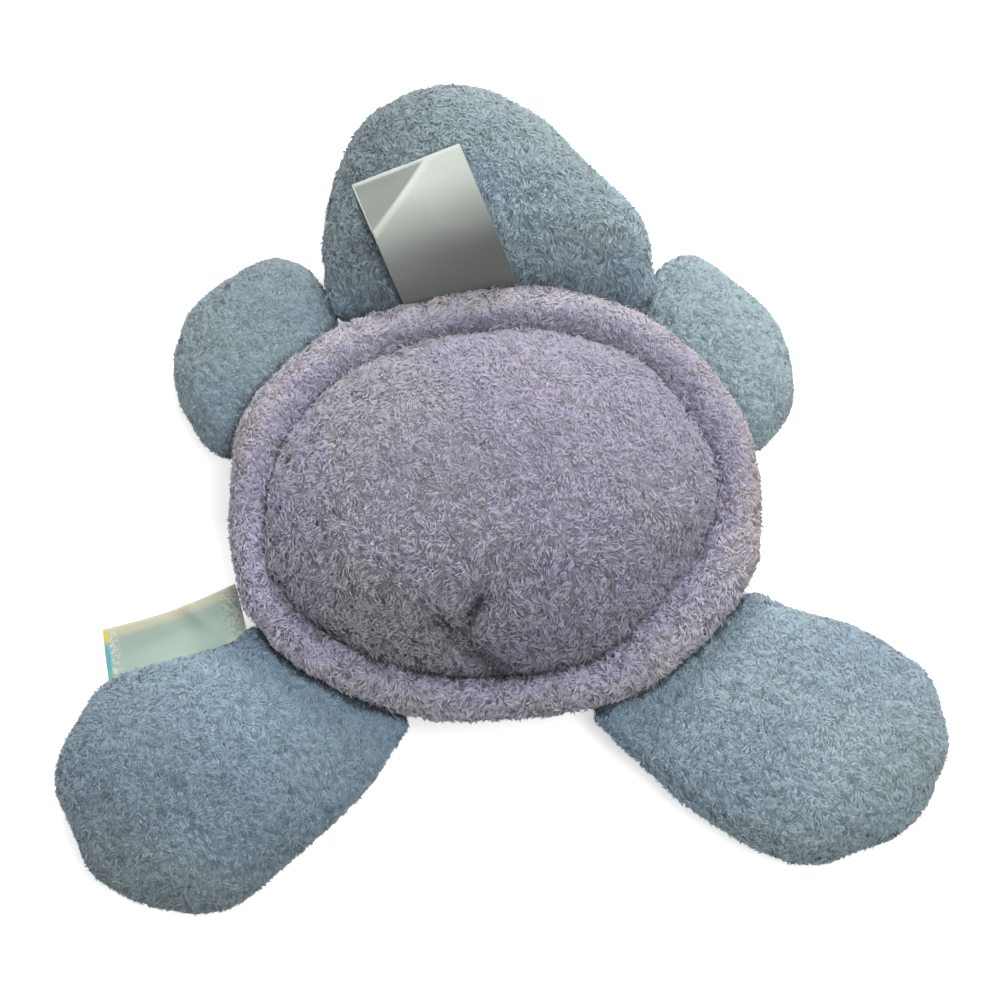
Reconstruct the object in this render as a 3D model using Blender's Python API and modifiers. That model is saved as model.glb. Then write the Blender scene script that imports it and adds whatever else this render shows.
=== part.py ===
"""A plush turtle that lies on its belly, built as the sewn panels, fillings, stitches and labels it is made of.

Metres, +Z up. The turtle's head points along +Y and +X is to its right side as seen from above with the
head at the top. The origin is the middle of the flat patch on which the belly rests. Each limb is drawn in
its own hinge frame: +X away from the shell, +Y along the hinge to the left, and the hinge at the origin.
"""
import math

import bmesh
import bpy
from mathutils import Matrix, Vector

# Cloth and clearances
FABRIC = 0.002
CLEARANCE = 0.0003
SEAM_CLEARANCE = 0.0003
FLOOR_CUT = 0.0005

# Shell outline and its padded rim
SHELL_HALF_WIDTH = 0.0670
SHELL_HALF_LENGTH = 0.0543
OUTLINE_POWER = 2.2
RIM_HEIGHT = 0.0265
RIM_HALF_DEPTH = 0.006
RIM_OUTER_REACH = 0.0062
RIM_INNER_REACH = 0.0044
RIM_SEAM_ANGLE = math.radians(20)

# Domed back and bowl-shaped belly
DOME_RISE = 0.0335
DOME_SIDE_POWER = 2.5
DOME_TOP_POWER = 2.0
BELLY_SIDE_POWER = 3.0
BELLY_BASE_POWER = 2.5

# Stitches
CHANNEL_THREAD_RADIUS = 0.0003
CHANNEL_THREAD_LIFT = 0.0035
CLOSING_THREAD_RADIUS = 0.0003
CLOSING_SEAM_LENGTH = 0.014
CLOSING_SEAM_WIDTH = 0.0024
CLOSING_STITCHES = 6
CLOSING_SEAM_UPPER_TURN = math.radians(-101)
CLOSING_SEAM_LOWER_TURN = math.radians(-86)
CLOSING_SEAM_START_SHARE = 0.14

# Hinges, where the limbs are sewn in under the rim
HINGE_HEIGHT = 0.0145
LIMB_ROOT_RADIUS = 0.003
NECK_ROOT_RADIUS = 0.004
SETTLE_RUN = 0.026
SKEW_RUN = 0.022
ROOT_POWER = 5.0
ROOT_BLEND_ROWS = 2
BACK_POWER = 2.25
UNDER_POWER = 2.7

# Head
HEAD_LENGTH = 0.0645
HEAD_HALF_WIDTH = 0.0442
HEAD_TOP = 0.046
HEAD_SEAM_HEIGHT = 0.0205

# Front flippers
LEFT_FLIPPER_LENGTH = 0.0402
LEFT_FLIPPER_HALF_WIDTH = 0.0298
RIGHT_FLIPPER_LENGTH = 0.0334
RIGHT_FLIPPER_HALF_WIDTH = 0.0338
FLIPPER_TOP = 0.0205
FLIPPER_SEAM_HEIGHT = 0.0105

# Rear legs
LEFT_LEG_LENGTH = 0.0835
LEFT_LEG_HALF_WIDTH = 0.0354
RIGHT_LEG_LENGTH = 0.0787
RIGHT_LEG_HALF_WIDTH = 0.0316
LEG_TOP = 0.0255
LEG_SEAM_HEIGHT = 0.0120

# Face, embroidered on the underside of the head
EYE_LENGTH = 0.0078
EYE_WIDTH = 0.0060
EYE_THICKNESS = 0.0010
EYE_SPAN_POSITION = 7.2
EYE_ANGLE = math.radians(62)
MOUTH_THREAD_RADIUS = 0.0005
MOUTH_SPAN_POSITION = 6.95
MOUTH_DIP = 0.22
MOUTH_HALF_ANGLE = math.radians(17)

# Care label, a folded satin ribbon that lies on the back of the head
LABEL_WIDTH = 0.0295
LABEL_LENGTH = 0.0276
LABEL_ROOT_ALONG = 0.0097
LABEL_ROOT_LEFT = 0.0100
LABEL_ROOT_TURN = math.radians(5.5)
LABEL_LEAN = math.radians(22.5)
LABEL_THICKNESS = 0.0003
LABEL_LEAF_SPACING = 0.0010

# Side tag, a folded satin ribbon in the seam of the rear left leg
TAG_WIDTH = 0.0345
TAG_DEPTH = 0.0122
TAG_THICKNESS = 0.0003
TAG_ROOT_SPACING = 0.0010
TAG_FOLD_SPACING = 0.0028
TAG_MIDDLE_SHARE = 0.392

# Mesh density
AROUND_SHELL = 36
DOME_RINGS = 7
RIM_STEPS = 9
SECTION_STEPS = 6
SPAN_STEPS = 2
ROOT_STEPS = 2
EYE_SEGMENTS = 14
EYE_RINGS = 7
MOUTH_STITCHES = 8
LABEL_STEPS = 12
TAG_STEPS = 5
FOLD_STEPS = 4
RIBBON_COLUMNS = 4
SMOOTH_ANGLE = math.radians(50)

# Steps of the small searches
PROBE = math.radians(1)
HALVINGS = 24

# Places along each limb: distance from the hinge, left edge and right edge, and fullness, as shares of the
# limb's length, half width and depth. The last row of each table is the tip.
HEAD_SHARES = (
    (0.00, 0.68, -0.66, 0.00),
    (0.10, 0.90, -0.84, 0.00),
    (0.19, 0.99, -0.92, 0.34),
    (0.31, 1.00, -0.92, 0.80),
    (0.44, 0.97, -0.84, 0.97),
    (0.56, 0.94, -0.70, 1.00),
    (0.69, 0.88, -0.50, 0.95),
    (0.83, 0.78, -0.31, 0.79),
    (1.00, 0.22, 0.22, 0.00),
)
LEFT_FLIPPER_SHARES = (
    (0.00, 0.62, -0.42, 0.00),
    (0.14, 0.78, -0.50, 0.06),
    (0.28, 0.84, -0.70, 0.50),
    (0.44, 0.81, -0.95, 0.85),
    (0.60, 0.72, -1.00, 1.00),
    (0.78, 0.56, -0.86, 0.88),
    (1.00, -0.17, -0.17, 0.00),
)
RIGHT_FLIPPER_SHARES = (
    (0.00, 0.38, -0.50, 0.00),
    (0.16, 0.48, -0.60, 0.06),
    (0.32, 0.74, -0.64, 0.50),
    (0.47, 0.97, -0.61, 0.86),
    (0.63, 0.99, -0.57, 1.00),
    (0.80, 0.81, -0.42, 0.86),
    (1.00, 0.15, 0.15, 0.00),
)
LEFT_LEG_SHARES = (
    (0.00, 0.50, -0.38, 0.00),
    (0.08, 0.70, -0.38, 0.06),
    (0.15, 0.86, -0.40, 0.40),
    (0.25, 0.94, -0.48, 0.78),
    (0.39, 0.98, -0.61, 0.95),
    (0.54, 1.00, -0.76, 1.00),
    (0.69, 0.98, -0.82, 1.00),
    (0.83, 0.86, -0.67, 0.85),
    (1.00, 0.18, 0.18, 0.00),
)
RIGHT_LEG_SHARES = (
    (0.00, 0.50, -0.56, 0.00),
    (0.08, 0.68, -0.78, 0.06),
    (0.15, 0.76, -0.93, 0.38),
    (0.25, 0.79, -0.97, 0.78),
    (0.39, 0.87, -0.99, 0.95),
    (0.54, 0.97, -1.00, 1.00),
    (0.69, 0.98, -0.95, 1.00),
    (0.83, 0.89, -0.76, 0.85),
    (1.00, 0.12, 0.12, 0.00),
)

# Colours, roughness
LILAC = (0.36, 0.32, 0.50)
LILAC_DEEP = (0.30, 0.26, 0.46)
BLUE = (0.30, 0.42, 0.52)
BLUE_LEG = (0.26, 0.38, 0.50)
FIBRE_WHITE = (0.80, 0.80, 0.78)
THREAD_LILAC = (0.25, 0.21, 0.40)
THREAD_DARK = (0.02, 0.02, 0.03)
SATIN_SILVER = (0.55, 0.56, 0.58)
SATIN_MINT = (0.50, 0.66, 0.60)
PLUSH_ROUGHNESS = 0.95
THREAD_ROUGHNESS = 0.6
SATIN_ROUGHNESS = 0.35


class Limb:
    """A stuffed limb: its hinge on the shell, its sizes and its table of shares."""

    def __init__(self, name, hinge_angle, lean, sizes, root_radius, shares, colour):
        self.name = name
        self.hinge_angle = math.radians(hinge_angle)
        self.lean = math.radians(lean)
        self.length, self.half_width, self.top, self.seam_height = sizes
        self.root_radius = root_radius
        self.shares = shares
        self.colour = colour

    @property
    def tip(self):
        return len(self.shares) - 1

    @property
    def fullest(self):
        return max(range(len(self.shares)), key=lambda row: self.shares[row][3])


HEAD = Limb(
    "head", 90, 0, (HEAD_LENGTH, HEAD_HALF_WIDTH, HEAD_TOP, HEAD_SEAM_HEIGHT),
    NECK_ROOT_RADIUS, HEAD_SHARES, BLUE)
FRONT_LEFT = Limb(
    "front_left_flipper", 138, 12,
    (LEFT_FLIPPER_LENGTH, LEFT_FLIPPER_HALF_WIDTH, FLIPPER_TOP, FLIPPER_SEAM_HEIGHT),
    LIMB_ROOT_RADIUS, LEFT_FLIPPER_SHARES, BLUE)
FRONT_RIGHT = Limb(
    "front_right_flipper", 42, -13,
    (RIGHT_FLIPPER_LENGTH, RIGHT_FLIPPER_HALF_WIDTH, FLIPPER_TOP, FLIPPER_SEAM_HEIGHT),
    LIMB_ROOT_RADIUS, RIGHT_FLIPPER_SHARES, BLUE)
REAR_LEFT = Limb(
    "rear_left_leg", -125, -16,
    (LEFT_LEG_LENGTH, LEFT_LEG_HALF_WIDTH, LEG_TOP, LEG_SEAM_HEIGHT),
    LIMB_ROOT_RADIUS, LEFT_LEG_SHARES, BLUE_LEG)
REAR_RIGHT = Limb(
    "rear_right_leg", -52, 18,
    (RIGHT_LEG_LENGTH, RIGHT_LEG_HALF_WIDTH, LEG_TOP, LEG_SEAM_HEIGHT),
    LIMB_ROOT_RADIUS, RIGHT_LEG_SHARES, BLUE_LEG)
LIMBS = (HEAD, FRONT_LEFT, FRONT_RIGHT, REAR_LEFT, REAR_RIGHT)


def mix(start, end, share):
    return start + (end - start) * share


def smooth(share):
    share = min(max(share, 0.0), 1.0)
    return share * share * (3 - 2 * share)


def power(value, exponent):
    """A signed power, for superellipses."""
    return math.copysign(abs(value) ** exponent, value)


def spline(values, place):
    """A Catmull-Rom curve through the values, read at a place counted in values."""
    index = min(int(place), len(values) - 2)
    share = place - index
    before = values[max(index - 1, 0)]
    start = values[index]
    end = values[index + 1]
    after = values[min(index + 2, len(values) - 1)]
    bend = 2 * before - 5 * start + 4 * end - after
    twist = -before + 3 * start - 3 * end + after
    return 0.5 * (2 * start + (end - before) * share + bend * share ** 2 + twist * share ** 3)


def oval_point(half_width, half_length, angle):
    """A point of the shell's outline, scaled to the half width and half length."""
    exponent = 2 / OUTLINE_POWER
    x = half_width * power(math.cos(angle), exponent)
    y = half_length * power(math.sin(angle), exponent)
    return x, y


def oval_angles():
    return [math.tau * step / AROUND_SHELL for step in range(AROUND_SHELL)]


def oval_ring(half_width, half_length, height):
    return [Vector((*oval_point(half_width, half_length, angle), height)) for angle in oval_angles()]


def cushion_half_sizes(inset=0.0):
    """Half width and half length of the dome and the belly where they meet inside the rim."""
    reach = RIM_OUTER_REACH + RIM_INNER_REACH + CLEARANCE + inset
    return SHELL_HALF_WIDTH - reach, SHELL_HALF_LENGTH - reach


def dome_point(turn, angle):
    """A point on the domed back: its turn round the shell and its angle up from the seam."""
    half_width, half_length = cushion_half_sizes()
    spread = math.cos(angle) ** (2 / DOME_SIDE_POWER)
    rise = math.sin(angle) ** (2 / DOME_TOP_POWER)
    x, y = oval_point(half_width * spread, half_length * spread, turn)
    return Vector((x, y, RIM_HEIGHT + DOME_RISE * rise))


def dome_rings(inset, gap):
    """Rings of the domed back from its seam to its crown."""
    half_width, half_length = cushion_half_sizes(inset)
    rings = []
    for step in range(DOME_RINGS + 1):
        angle = math.pi / 2 * step / DOME_RINGS
        spread = max(math.cos(angle), 0.0) ** (2 / DOME_SIDE_POWER)
        rise = math.sin(angle) ** (2 / DOME_TOP_POWER)
        if step == DOME_RINGS:
            spread = 0.0
        height = RIM_HEIGHT + gap + (DOME_RISE - gap - inset) * rise
        rings.append(oval_ring(half_width * spread, half_length * spread, height))
    return rings


def belly_spread(height):
    """How wide the belly is at a height, as a share of its width at the seam."""
    drop = (RIM_HEIGHT - height) / (RIM_HEIGHT + FLOOR_CUT)
    return (1 - drop ** BELLY_BASE_POWER) ** (1 / BELLY_SIDE_POWER)


def belly_rings(inset, gap):
    """Rings of the belly from its seam down to the flat patch it rests on."""
    half_width, half_length = cushion_half_sizes(inset)
    rings = []
    for step in range(DOME_RINGS + 1):
        angle = math.pi / 2 * step / DOME_RINGS
        spread = max(math.cos(angle), 0.0) ** (2 / BELLY_SIDE_POWER)
        drop = math.sin(angle) ** (2 / BELLY_BASE_POWER)
        if step == DOME_RINGS:
            spread = 0.0
        depth = RIM_HEIGHT + FLOOR_CUT - gap - inset
        height = max(RIM_HEIGHT - gap - depth * drop, inset)
        rings.append(oval_ring(half_width * spread, half_length * spread, height))
    return rings


def rim_rings(inset, seam_angle):
    """Rings of the padded rim, over the top, round the outside and back under it."""
    rings = []
    for step in range(RIM_STEPS + 1):
        angle = mix(seam_angle, math.tau - seam_angle, step / RIM_STEPS)
        reach = RIM_INNER_REACH if math.cos(angle) > 0 else RIM_OUTER_REACH
        inward = RIM_OUTER_REACH + (reach - inset) * math.cos(angle)
        height = RIM_HEIGHT + (RIM_HALF_DEPTH - inset) * math.sin(angle)
        rings.append(oval_ring(SHELL_HALF_WIDTH - inward, SHELL_HALF_LENGTH - inward, height))
    return rings


def hinge_centre(limb):
    """The hinge's middle: the limb's root touches the belly where the belly faces the limb."""
    spread = belly_spread(HINGE_HEIGHT)
    half_width, half_length = (size * spread for size in cushion_half_sizes())
    across = half_width * abs(math.cos(limb.hinge_angle))
    along = half_length * abs(math.sin(limb.hinge_angle))
    exponent = OUTLINE_POWER / (OUTLINE_POWER - 1)
    scale = (across ** exponent + along ** exponent) ** (-1 / exponent)
    x = half_width * power((scale * across), 1 / (OUTLINE_POWER - 1))
    y = half_length * power((scale * along), 1 / (OUTLINE_POWER - 1))
    outward = limb.root_radius + CLEARANCE
    x = math.copysign(x, math.cos(limb.hinge_angle)) + outward * math.cos(limb.hinge_angle)
    y = math.copysign(y, math.sin(limb.hinge_angle)) + outward * math.sin(limb.hinge_angle)
    return Vector((x, y, HINGE_HEIGHT))


def hinge_matrix(limb):
    return Matrix.Translation(hinge_centre(limb)) @ Matrix.Rotation(limb.hinge_angle, 4, "Z")


class Rib:
    """One cross-section of a limb: its middle, direction, half width, seam height and depths."""

    def __init__(self, limb, place, inset=0.0):
        rows = limb.shares
        tip = limb.tip
        shrink = (limb.length - inset) / limb.length
        over = min(max(place - limb.fullest, 0.0) / (tip - limb.fullest), 1.0)
        if place < 0:
            turn = (place + 1) * math.pi / 2
            along = -(limb.root_radius - inset) * math.cos(turn)
            left = rows[0][1] * limb.half_width - inset
            right = rows[0][2] * limb.half_width + inset
            above = (limb.root_radius - inset) * math.sin(turn)
            below = above
        else:
            along = shrink * limb.length * spline([row[0] for row in rows] + [rows[-2][0]], place)
            sides = [row[1] for row in rows] + [rows[-2][2]]
            others = [row[2] for row in rows] + [rows[-2][1]]
            left = limb.half_width * spline(sides, place)
            right = limb.half_width * spline(others, place)
            width_left = mix(1.0, (left - right) / (2 * limb.half_width), smooth(over))
            left -= inset * width_left
            right += inset * width_left
            fullness = spline([row[3] for row in rows] + [-rows[-2][3]], place)
            depth_left = mix(1.0, fullness, smooth(over))
            above = mix(limb.root_radius, limb.top - limb.seam_height, fullness)
            below = mix(limb.root_radius, limb.seam_height + FLOOR_CUT, fullness)
            above = mix(above, (limb.top - limb.seam_height) * fullness, smooth(over))
            below = mix(below, (limb.seam_height + FLOOR_CUT) * fullness, smooth(over))
            above -= inset * depth_left
            below -= inset * depth_left
        if place >= tip:
            left = right = (left + right) / 2
            above = below = 0.0
        self.power_share = smooth(max(place, 0.0) / ROOT_BLEND_ROWS)
        settle = smooth(along / SETTLE_RUN)
        self.seam = mix(HINGE_HEIGHT, limb.seam_height, settle) - HINGE_HEIGHT
        self.floor = inset - HINGE_HEIGHT
        turn = math.pi / 2 + limb.lean * smooth(along / SKEW_RUN)
        self.across = Vector((math.cos(turn), math.sin(turn), 0))
        spine = Vector((math.cos(limb.lean), math.sin(limb.lean), 0)) * along
        self.middle = spine + self.across * (left + right) / 2
        self.half_width = (left - right) / 2
        self.above = above
        self.below = below

    def point(self, angle, side, gap=0.0):
        """A point of the section: angle 0 is the left edge and 180 degrees the right edge."""
        last = BACK_POWER if side > 0 else UNDER_POWER
        exponent = 2 / mix(ROOT_POWER, last, self.power_share)
        sideways = self.half_width * power(math.cos(angle), exponent)
        depth = self.above if side > 0 else self.below
        away = gap + max(depth - gap, 0.0) * max(math.sin(angle), 0.0) ** exponent
        height = max(self.seam + side * away, self.floor)
        return self.middle + self.across * sideways + Vector((0, 0, height))


def rib_places(limb):
    places = [-1 + step / ROOT_STEPS for step in range(ROOT_STEPS)]
    places += [step / SPAN_STEPS for step in range(limb.tip * SPAN_STEPS + 1)]
    return places


def half_section_angles():
    return [math.pi * step / SECTION_STEPS for step in range(SECTION_STEPS + 1)]


def half_rows(limb, side, inset, gap):
    """Rows of points across the upper or lower half of a limb, from its root to its tip."""
    rows = []
    for place in rib_places(limb):
        rib = Rib(limb, place, inset)
        rows.append([rib.point(angle, side, gap) for angle in half_section_angles()])
    return rows


def new_material(name, colour, roughness):
    material = bpy.data.materials.new(name)
    material.use_nodes = True
    shader = material.node_tree.nodes["Principled BSDF"]
    shader.inputs["Base Color"].default_value = (*colour, 1)
    shader.inputs["Roughness"].default_value = roughness
    shader.inputs["Metallic"].default_value = 0
    material.diffuse_color = (*colour, 1)
    return material


def add_grid(bm, rows, wrap, flip=False):
    """Joins rows of points with faces and returns their vertices."""
    verts = [[bm.verts.new(point) for point in row] for row in rows]
    for first, second in zip(verts, verts[1:]):
        columns = len(first)
        for column in range(columns if wrap else columns - 1):
            after = (column + 1) % columns
            if flip:
                corners = [second[after], first[after], first[column], second[column]]
            else:
                corners = [first[column], first[after], second[after], second[column]]
            bm.faces.new(corners)
    return verts


def add_band(bm, outer, inner, wrap=False):
    """Joins the edge of an outer surface to the edge of the inner one."""
    count = len(outer)
    for index in range(count if wrap else count - 1):
        after = (index + 1) % count
        bm.faces.new([outer[after], outer[index], inner[index], inner[after]])


def finish_mesh(bm, name):
    weld = CLEARANCE / 10
    bmesh.ops.remove_doubles(bm, verts=bm.verts, dist=weld)
    bmesh.ops.dissolve_degenerate(bm, edges=bm.edges, dist=weld)
    bmesh.ops.recalc_face_normals(bm, faces=bm.faces)
    mesh = bpy.data.meshes.new(name)
    bm.to_mesh(mesh)
    bm.free()
    mesh.shade_smooth()
    mesh.set_sharp_from_angle(angle=SMOOTH_ANGLE)
    return mesh


def panel_mesh(name, outer, inner, wrap, pole):
    """A sewn panel: an outer and an inner surface, joined along their open edges."""
    bm = bmesh.new()
    outside = add_grid(bm, outer, wrap)
    inside = add_grid(bm, inner, wrap, flip=True)
    add_band(bm, outside[0], inside[0], wrap)
    if not pole:
        add_band(bm, outside[-1], inside[-1], wrap)
    if not wrap:
        for column in (0, -1):
            add_band(bm, [row[column] for row in outside], [row[column] for row in inside])
    return finish_mesh(bm, name)


def filling_mesh(name, upper, lower, wrap):
    """A filling: an upper and a lower half, welded where their edges meet."""
    bm = bmesh.new()
    add_grid(bm, upper, wrap)
    add_grid(bm, lower, wrap, flip=True)
    return finish_mesh(bm, name)


def place_mesh(name, mesh, material, collection, parent=None):
    piece = bpy.data.objects.new(name, mesh)
    mesh.materials.append(material)
    collection.objects.link(piece)
    piece.parent = parent
    return piece


def add_hinge(name, matrix, collection, parent=None):
    """An empty on a joint's axis, which its moving pieces hang from."""
    hinge = bpy.data.objects.new(name, None)
    hinge.empty_display_size = LIMB_ROOT_RADIUS
    collection.objects.link(hinge)
    hinge.parent = parent
    hinge.matrix_local = matrix
    return hinge


def thread_curve(name, points, radius, material, collection, parent=None, cyclic=False):
    """A sewing thread through the points, as a round tube with closed ends."""
    curve = bpy.data.curves.new(name, "CURVE")
    curve.dimensions = "3D"
    curve.bevel_depth = radius
    curve.bevel_resolution = 1
    curve.use_fill_caps = not cyclic
    line = curve.splines.new("POLY")
    line.points.add(len(points) - 1)
    for slot, point in zip(line.points, points):
        slot.co = (*point, 1)
    line.use_cyclic_u = cyclic
    return place_mesh(name, curve, material, collection, parent)


def build_shell(collection, materials):
    """The domed back, its padded rim, the belly, and what fills them."""
    half_gap = SEAM_CLEARANCE / 2
    lining = FABRIC + CLEARANCE
    dome = panel_mesh(
        "shell_dome_cover", dome_rings(0, half_gap), dome_rings(FABRIC, half_gap), wrap=True, pole=True)
    place_mesh("shell_dome_cover", dome, materials["lilac"], collection)
    belly = panel_mesh(
        "belly_cover", belly_rings(0, half_gap), belly_rings(FABRIC, half_gap), wrap=True, pole=True)
    place_mesh("belly_cover", belly, materials["blue"], collection)
    rim = panel_mesh(
        "shell_rim_cover", rim_rings(0, RIM_SEAM_ANGLE), rim_rings(FABRIC, RIM_SEAM_ANGLE),
        wrap=True, pole=False)
    place_mesh("shell_rim_cover", rim, materials["lilac_deep"], collection)
    bm = bmesh.new()
    add_grid(bm, rim_rings(lining, 0), wrap=True)
    wadding = finish_mesh(bm, "shell_rim_wadding")
    place_mesh("shell_rim_wadding", wadding, materials["fibre"], collection)
    stuffing = filling_mesh("shell_stuffing", dome_rings(lining, 0), belly_rings(lining, 0), wrap=True)
    place_mesh("shell_stuffing", stuffing, materials["fibre"], collection)


def channel_height():
    return RIM_HEIGHT + CHANNEL_THREAD_LIFT


def build_stitches(collection, materials):
    """The line of stitches in the channel round the dome, and the hand stitches that close the back."""
    lift = CHANNEL_THREAD_LIFT / RIM_HALF_DEPTH
    rim_wall = RIM_OUTER_REACH + RIM_INNER_REACH * math.sqrt(1 - lift ** 2)
    inward = rim_wall + CLEARANCE + CHANNEL_THREAD_RADIUS
    ring = oval_ring(SHELL_HALF_WIDTH - inward, SHELL_HALF_LENGTH - inward, channel_height())
    thread_curve(
        "shell_channel_stitching", ring, CHANNEL_THREAD_RADIUS, materials["thread"], collection, cyclic=True)

    run = CLOSING_SEAM_LENGTH / cushion_half_sizes()[1]
    points = []
    for stitch in range(CLOSING_STITCHES + 1):
        share = stitch / CLOSING_STITCHES
        turn = mix(CLOSING_SEAM_LOWER_TURN, CLOSING_SEAM_UPPER_TURN, share)
        angle = math.pi / 2 * (CLOSING_SEAM_START_SHARE + share * run)
        here = dome_point(turn, angle)
        onward = dome_point(turn + PROBE, angle) - here
        upward = dome_point(turn, angle + PROBE) - here
        out = onward.cross(upward).normalized()
        point = here + out * (CLEARANCE + CLOSING_THREAD_RADIUS)
        point += onward.normalized() * CLOSING_SEAM_WIDTH / 2 * (-1) ** stitch
        points.append(point)
    thread_curve(
        "closing_seam_stitching", points, CLOSING_THREAD_RADIUS, materials["thread"], collection)


def build_limb(limb, names, hinge, collection, materials):
    """A limb's two panels and its filling, in its hinge's frame."""
    top_name, bottom_name, filling_name = names
    gap = SEAM_CLEARANCE / 2
    for name, side in ((top_name, 1), (bottom_name, -1)):
        outer = half_rows(limb, side, 0, gap)
        inner = half_rows(limb, side, FABRIC, gap)
        panel = panel_mesh(name, outer, inner, wrap=False, pole=True)
        place_mesh(name, panel, materials[limb.name], collection, hinge)
    lining = FABRIC + CLEARANCE
    filling = filling_mesh(
        filling_name, half_rows(limb, 1, lining, 0), half_rows(limb, -1, lining, 0), wrap=False)
    place_mesh(filling_name, filling, materials["fibre"], collection, hinge)


def skin_frame(limb, place, angle, side):
    """A point on a limb's skin with the directions along the limb, across it and out of it."""
    here = Rib(limb, place).point(angle, side)
    along = Rib(limb, place + PROBE).point(angle, side) - here
    across = Rib(limb, place).point(angle - PROBE, side) - here
    out = across.cross(along).normalized() * side
    along.normalize()
    if out.z * side < 0:
        out.negate()
    return here, along, out


def build_face(hinge, collection, materials):
    """Two embroidered eyes and a stitched mouth on the underside of the head."""
    for name, angle in (("left_eye", math.pi - EYE_ANGLE), ("right_eye", EYE_ANGLE)):
        here, along, out = skin_frame(HEAD, EYE_SPAN_POSITION, angle, -1)
        bpy.ops.mesh.primitive_uv_sphere_add(segments=EYE_SEGMENTS, ring_count=EYE_RINGS, radius=0.5)
        eye = bpy.context.object
        eye.name = name
        eye.data.name = name
        eye.data.transform(Matrix.Diagonal((EYE_LENGTH, EYE_WIDTH, EYE_THICKNESS, 1)))
        eye.data.shade_smooth()
        eye.data.materials.append(materials["dark_thread"])
        for owner in eye.users_collection:
            owner.objects.unlink(eye)
        collection.objects.link(eye)
        across = out.cross(along).normalized()
        turn = Matrix((across.cross(out), across, out)).transposed().to_4x4()
        middle = here + out * (CLEARANCE + EYE_THICKNESS / 2)
        eye.parent = hinge
        eye.matrix_local = Matrix.Translation(middle) @ turn

    points = []
    for step in range(MOUTH_STITCHES + 1):
        share = 2 * step / MOUTH_STITCHES - 1
        angle = math.pi / 2 + MOUTH_HALF_ANGLE * share
        here, along, out = skin_frame(HEAD, MOUTH_SPAN_POSITION - MOUTH_DIP * (1 - share ** 2), angle, -1)
        points.append(here + out * (CLEARANCE + MOUTH_THREAD_RADIUS))
    thread_curve(
        "mouth_stitching", points, MOUTH_THREAD_RADIUS, materials["dark_thread"], collection, hinge)


def place_at(limb, along):
    """The place in a limb's table that lies at a distance from the hinge."""
    low, high = 0.0, float(limb.tip)
    for _ in range(HALVINGS):
        middle = (low + high) / 2
        if Rib(limb, middle).middle.x < along:
            low = middle
        else:
            high = middle
    return low


def head_top_at(along, left):
    """How high the back of the head is at a point, above the hinge."""
    rib = Rib(HEAD, place_at(HEAD, along))
    offset = min(abs(left - rib.middle.y) / rib.half_width, 1.0)
    exponent = mix(ROOT_POWER, BACK_POWER, rib.power_share)
    return rib.seam + rib.above * (1 - offset ** exponent) ** (1 / exponent)


def add_ribbon(name, rows, thickness, material, collection, hinge):
    """A folded ribbon: an open strip with Solidify's thickness on both sides."""
    bm = bmesh.new()
    add_grid(bm, rows, wrap=False)
    mesh = bpy.data.meshes.new(name)
    bm.to_mesh(mesh)
    bm.free()
    mesh.shade_smooth()
    ribbon = place_mesh(name, mesh, material, collection, hinge)
    modifier = ribbon.modifiers.new("Solidify", "SOLIDIFY")
    modifier.thickness = thickness
    modifier.offset = 0


def label_rows():
    """Rows across the care label: out along the lower leaf, round the fold and back along the upper."""
    columns = range(RIBBON_COLUMNS + 1)
    root = Vector((LABEL_ROOT_ALONG, LABEL_ROOT_LEFT, 0))
    lean = Vector((math.cos(LABEL_LEAN), math.sin(LABEL_LEAN), 0))
    lower = []
    for step in range(LABEL_STEPS + 1):
        share = step / LABEL_STEPS
        middle = root + lean * LABEL_LENGTH * share
        turn = mix(LABEL_ROOT_TURN, LABEL_LEAN, smooth(share))
        across = Vector((-math.sin(turn), math.cos(turn), 0))
        flat = [middle + across * LABEL_WIDTH * (column / RIBBON_COLUMNS - 0.5) for column in columns]
        heights = [head_top_at(point.x, point.y) for point in flat]
        line = [mix(heights[0], heights[-1], column / RIBBON_COLUMNS) for column in columns]
        lift = max(height - chord for height, chord in zip(heights, line))
        lift += 2 * CLEARANCE + LABEL_THICKNESS
        row = [point + Vector((0, 0, chord + lift)) for point, chord in zip(flat, line)]
        lower.append(row)
    up = Vector((0, 0, LABEL_LEAF_SPACING))
    fold = [point + lean * LABEL_LEAF_SPACING / 2 + up / 2 for point in lower[-1]]
    upper = [[point + up for point in row] for row in reversed(lower)]
    return lower + [fold] + upper


def build_care_label(neck, collection, materials):
    rows = label_rows()
    first, last = rows[0][0], rows[0][-1]
    middle = (first + last) / 2
    across = (last - first).normalized()
    outward = across.cross(Vector((0, 0, 1))).normalized()
    matrix = Matrix((outward, across, outward.cross(across))).transposed().to_4x4()
    matrix.translation = middle
    hinge = add_hinge("care_label_hinge", matrix, collection, neck)
    local = matrix.inverted()
    rows = [[local @ point for point in row] for row in rows]
    add_ribbon("care_label", rows, LABEL_THICKNESS, materials["silver"], collection, hinge)


def tag_root():
    """The side tag's root line beside the right-hand seam of the rear left leg."""
    half = TAG_WIDTH / 2 / LEFT_LEG_LENGTH
    edge = []
    for along in (TAG_MIDDLE_SHARE - half, TAG_MIDDLE_SHARE, TAG_MIDDLE_SHARE + half):
        places = [row[0] for row in REAR_LEFT.shares]
        index = max(row for row in range(len(places) - 1) if places[row] <= along)
        place = index + (along - places[index]) / (places[index + 1] - places[index])
        edge.append(Rib(REAR_LEFT, place).point(math.pi, 1))
    start, middle, end = edge
    line = (end - start).normalized()
    outward = line.cross(Vector((0, 0, 1))).normalized()
    if outward.dot(Rib(REAR_LEFT, 2).across) > 0:
        outward.negate()
    bulge = max((middle - start).dot(outward), 0.0)
    offset = bulge + CLEARANCE + TAG_THICKNESS
    centre = (start + end) / 2 + outward * offset
    return centre, line, outward


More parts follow.
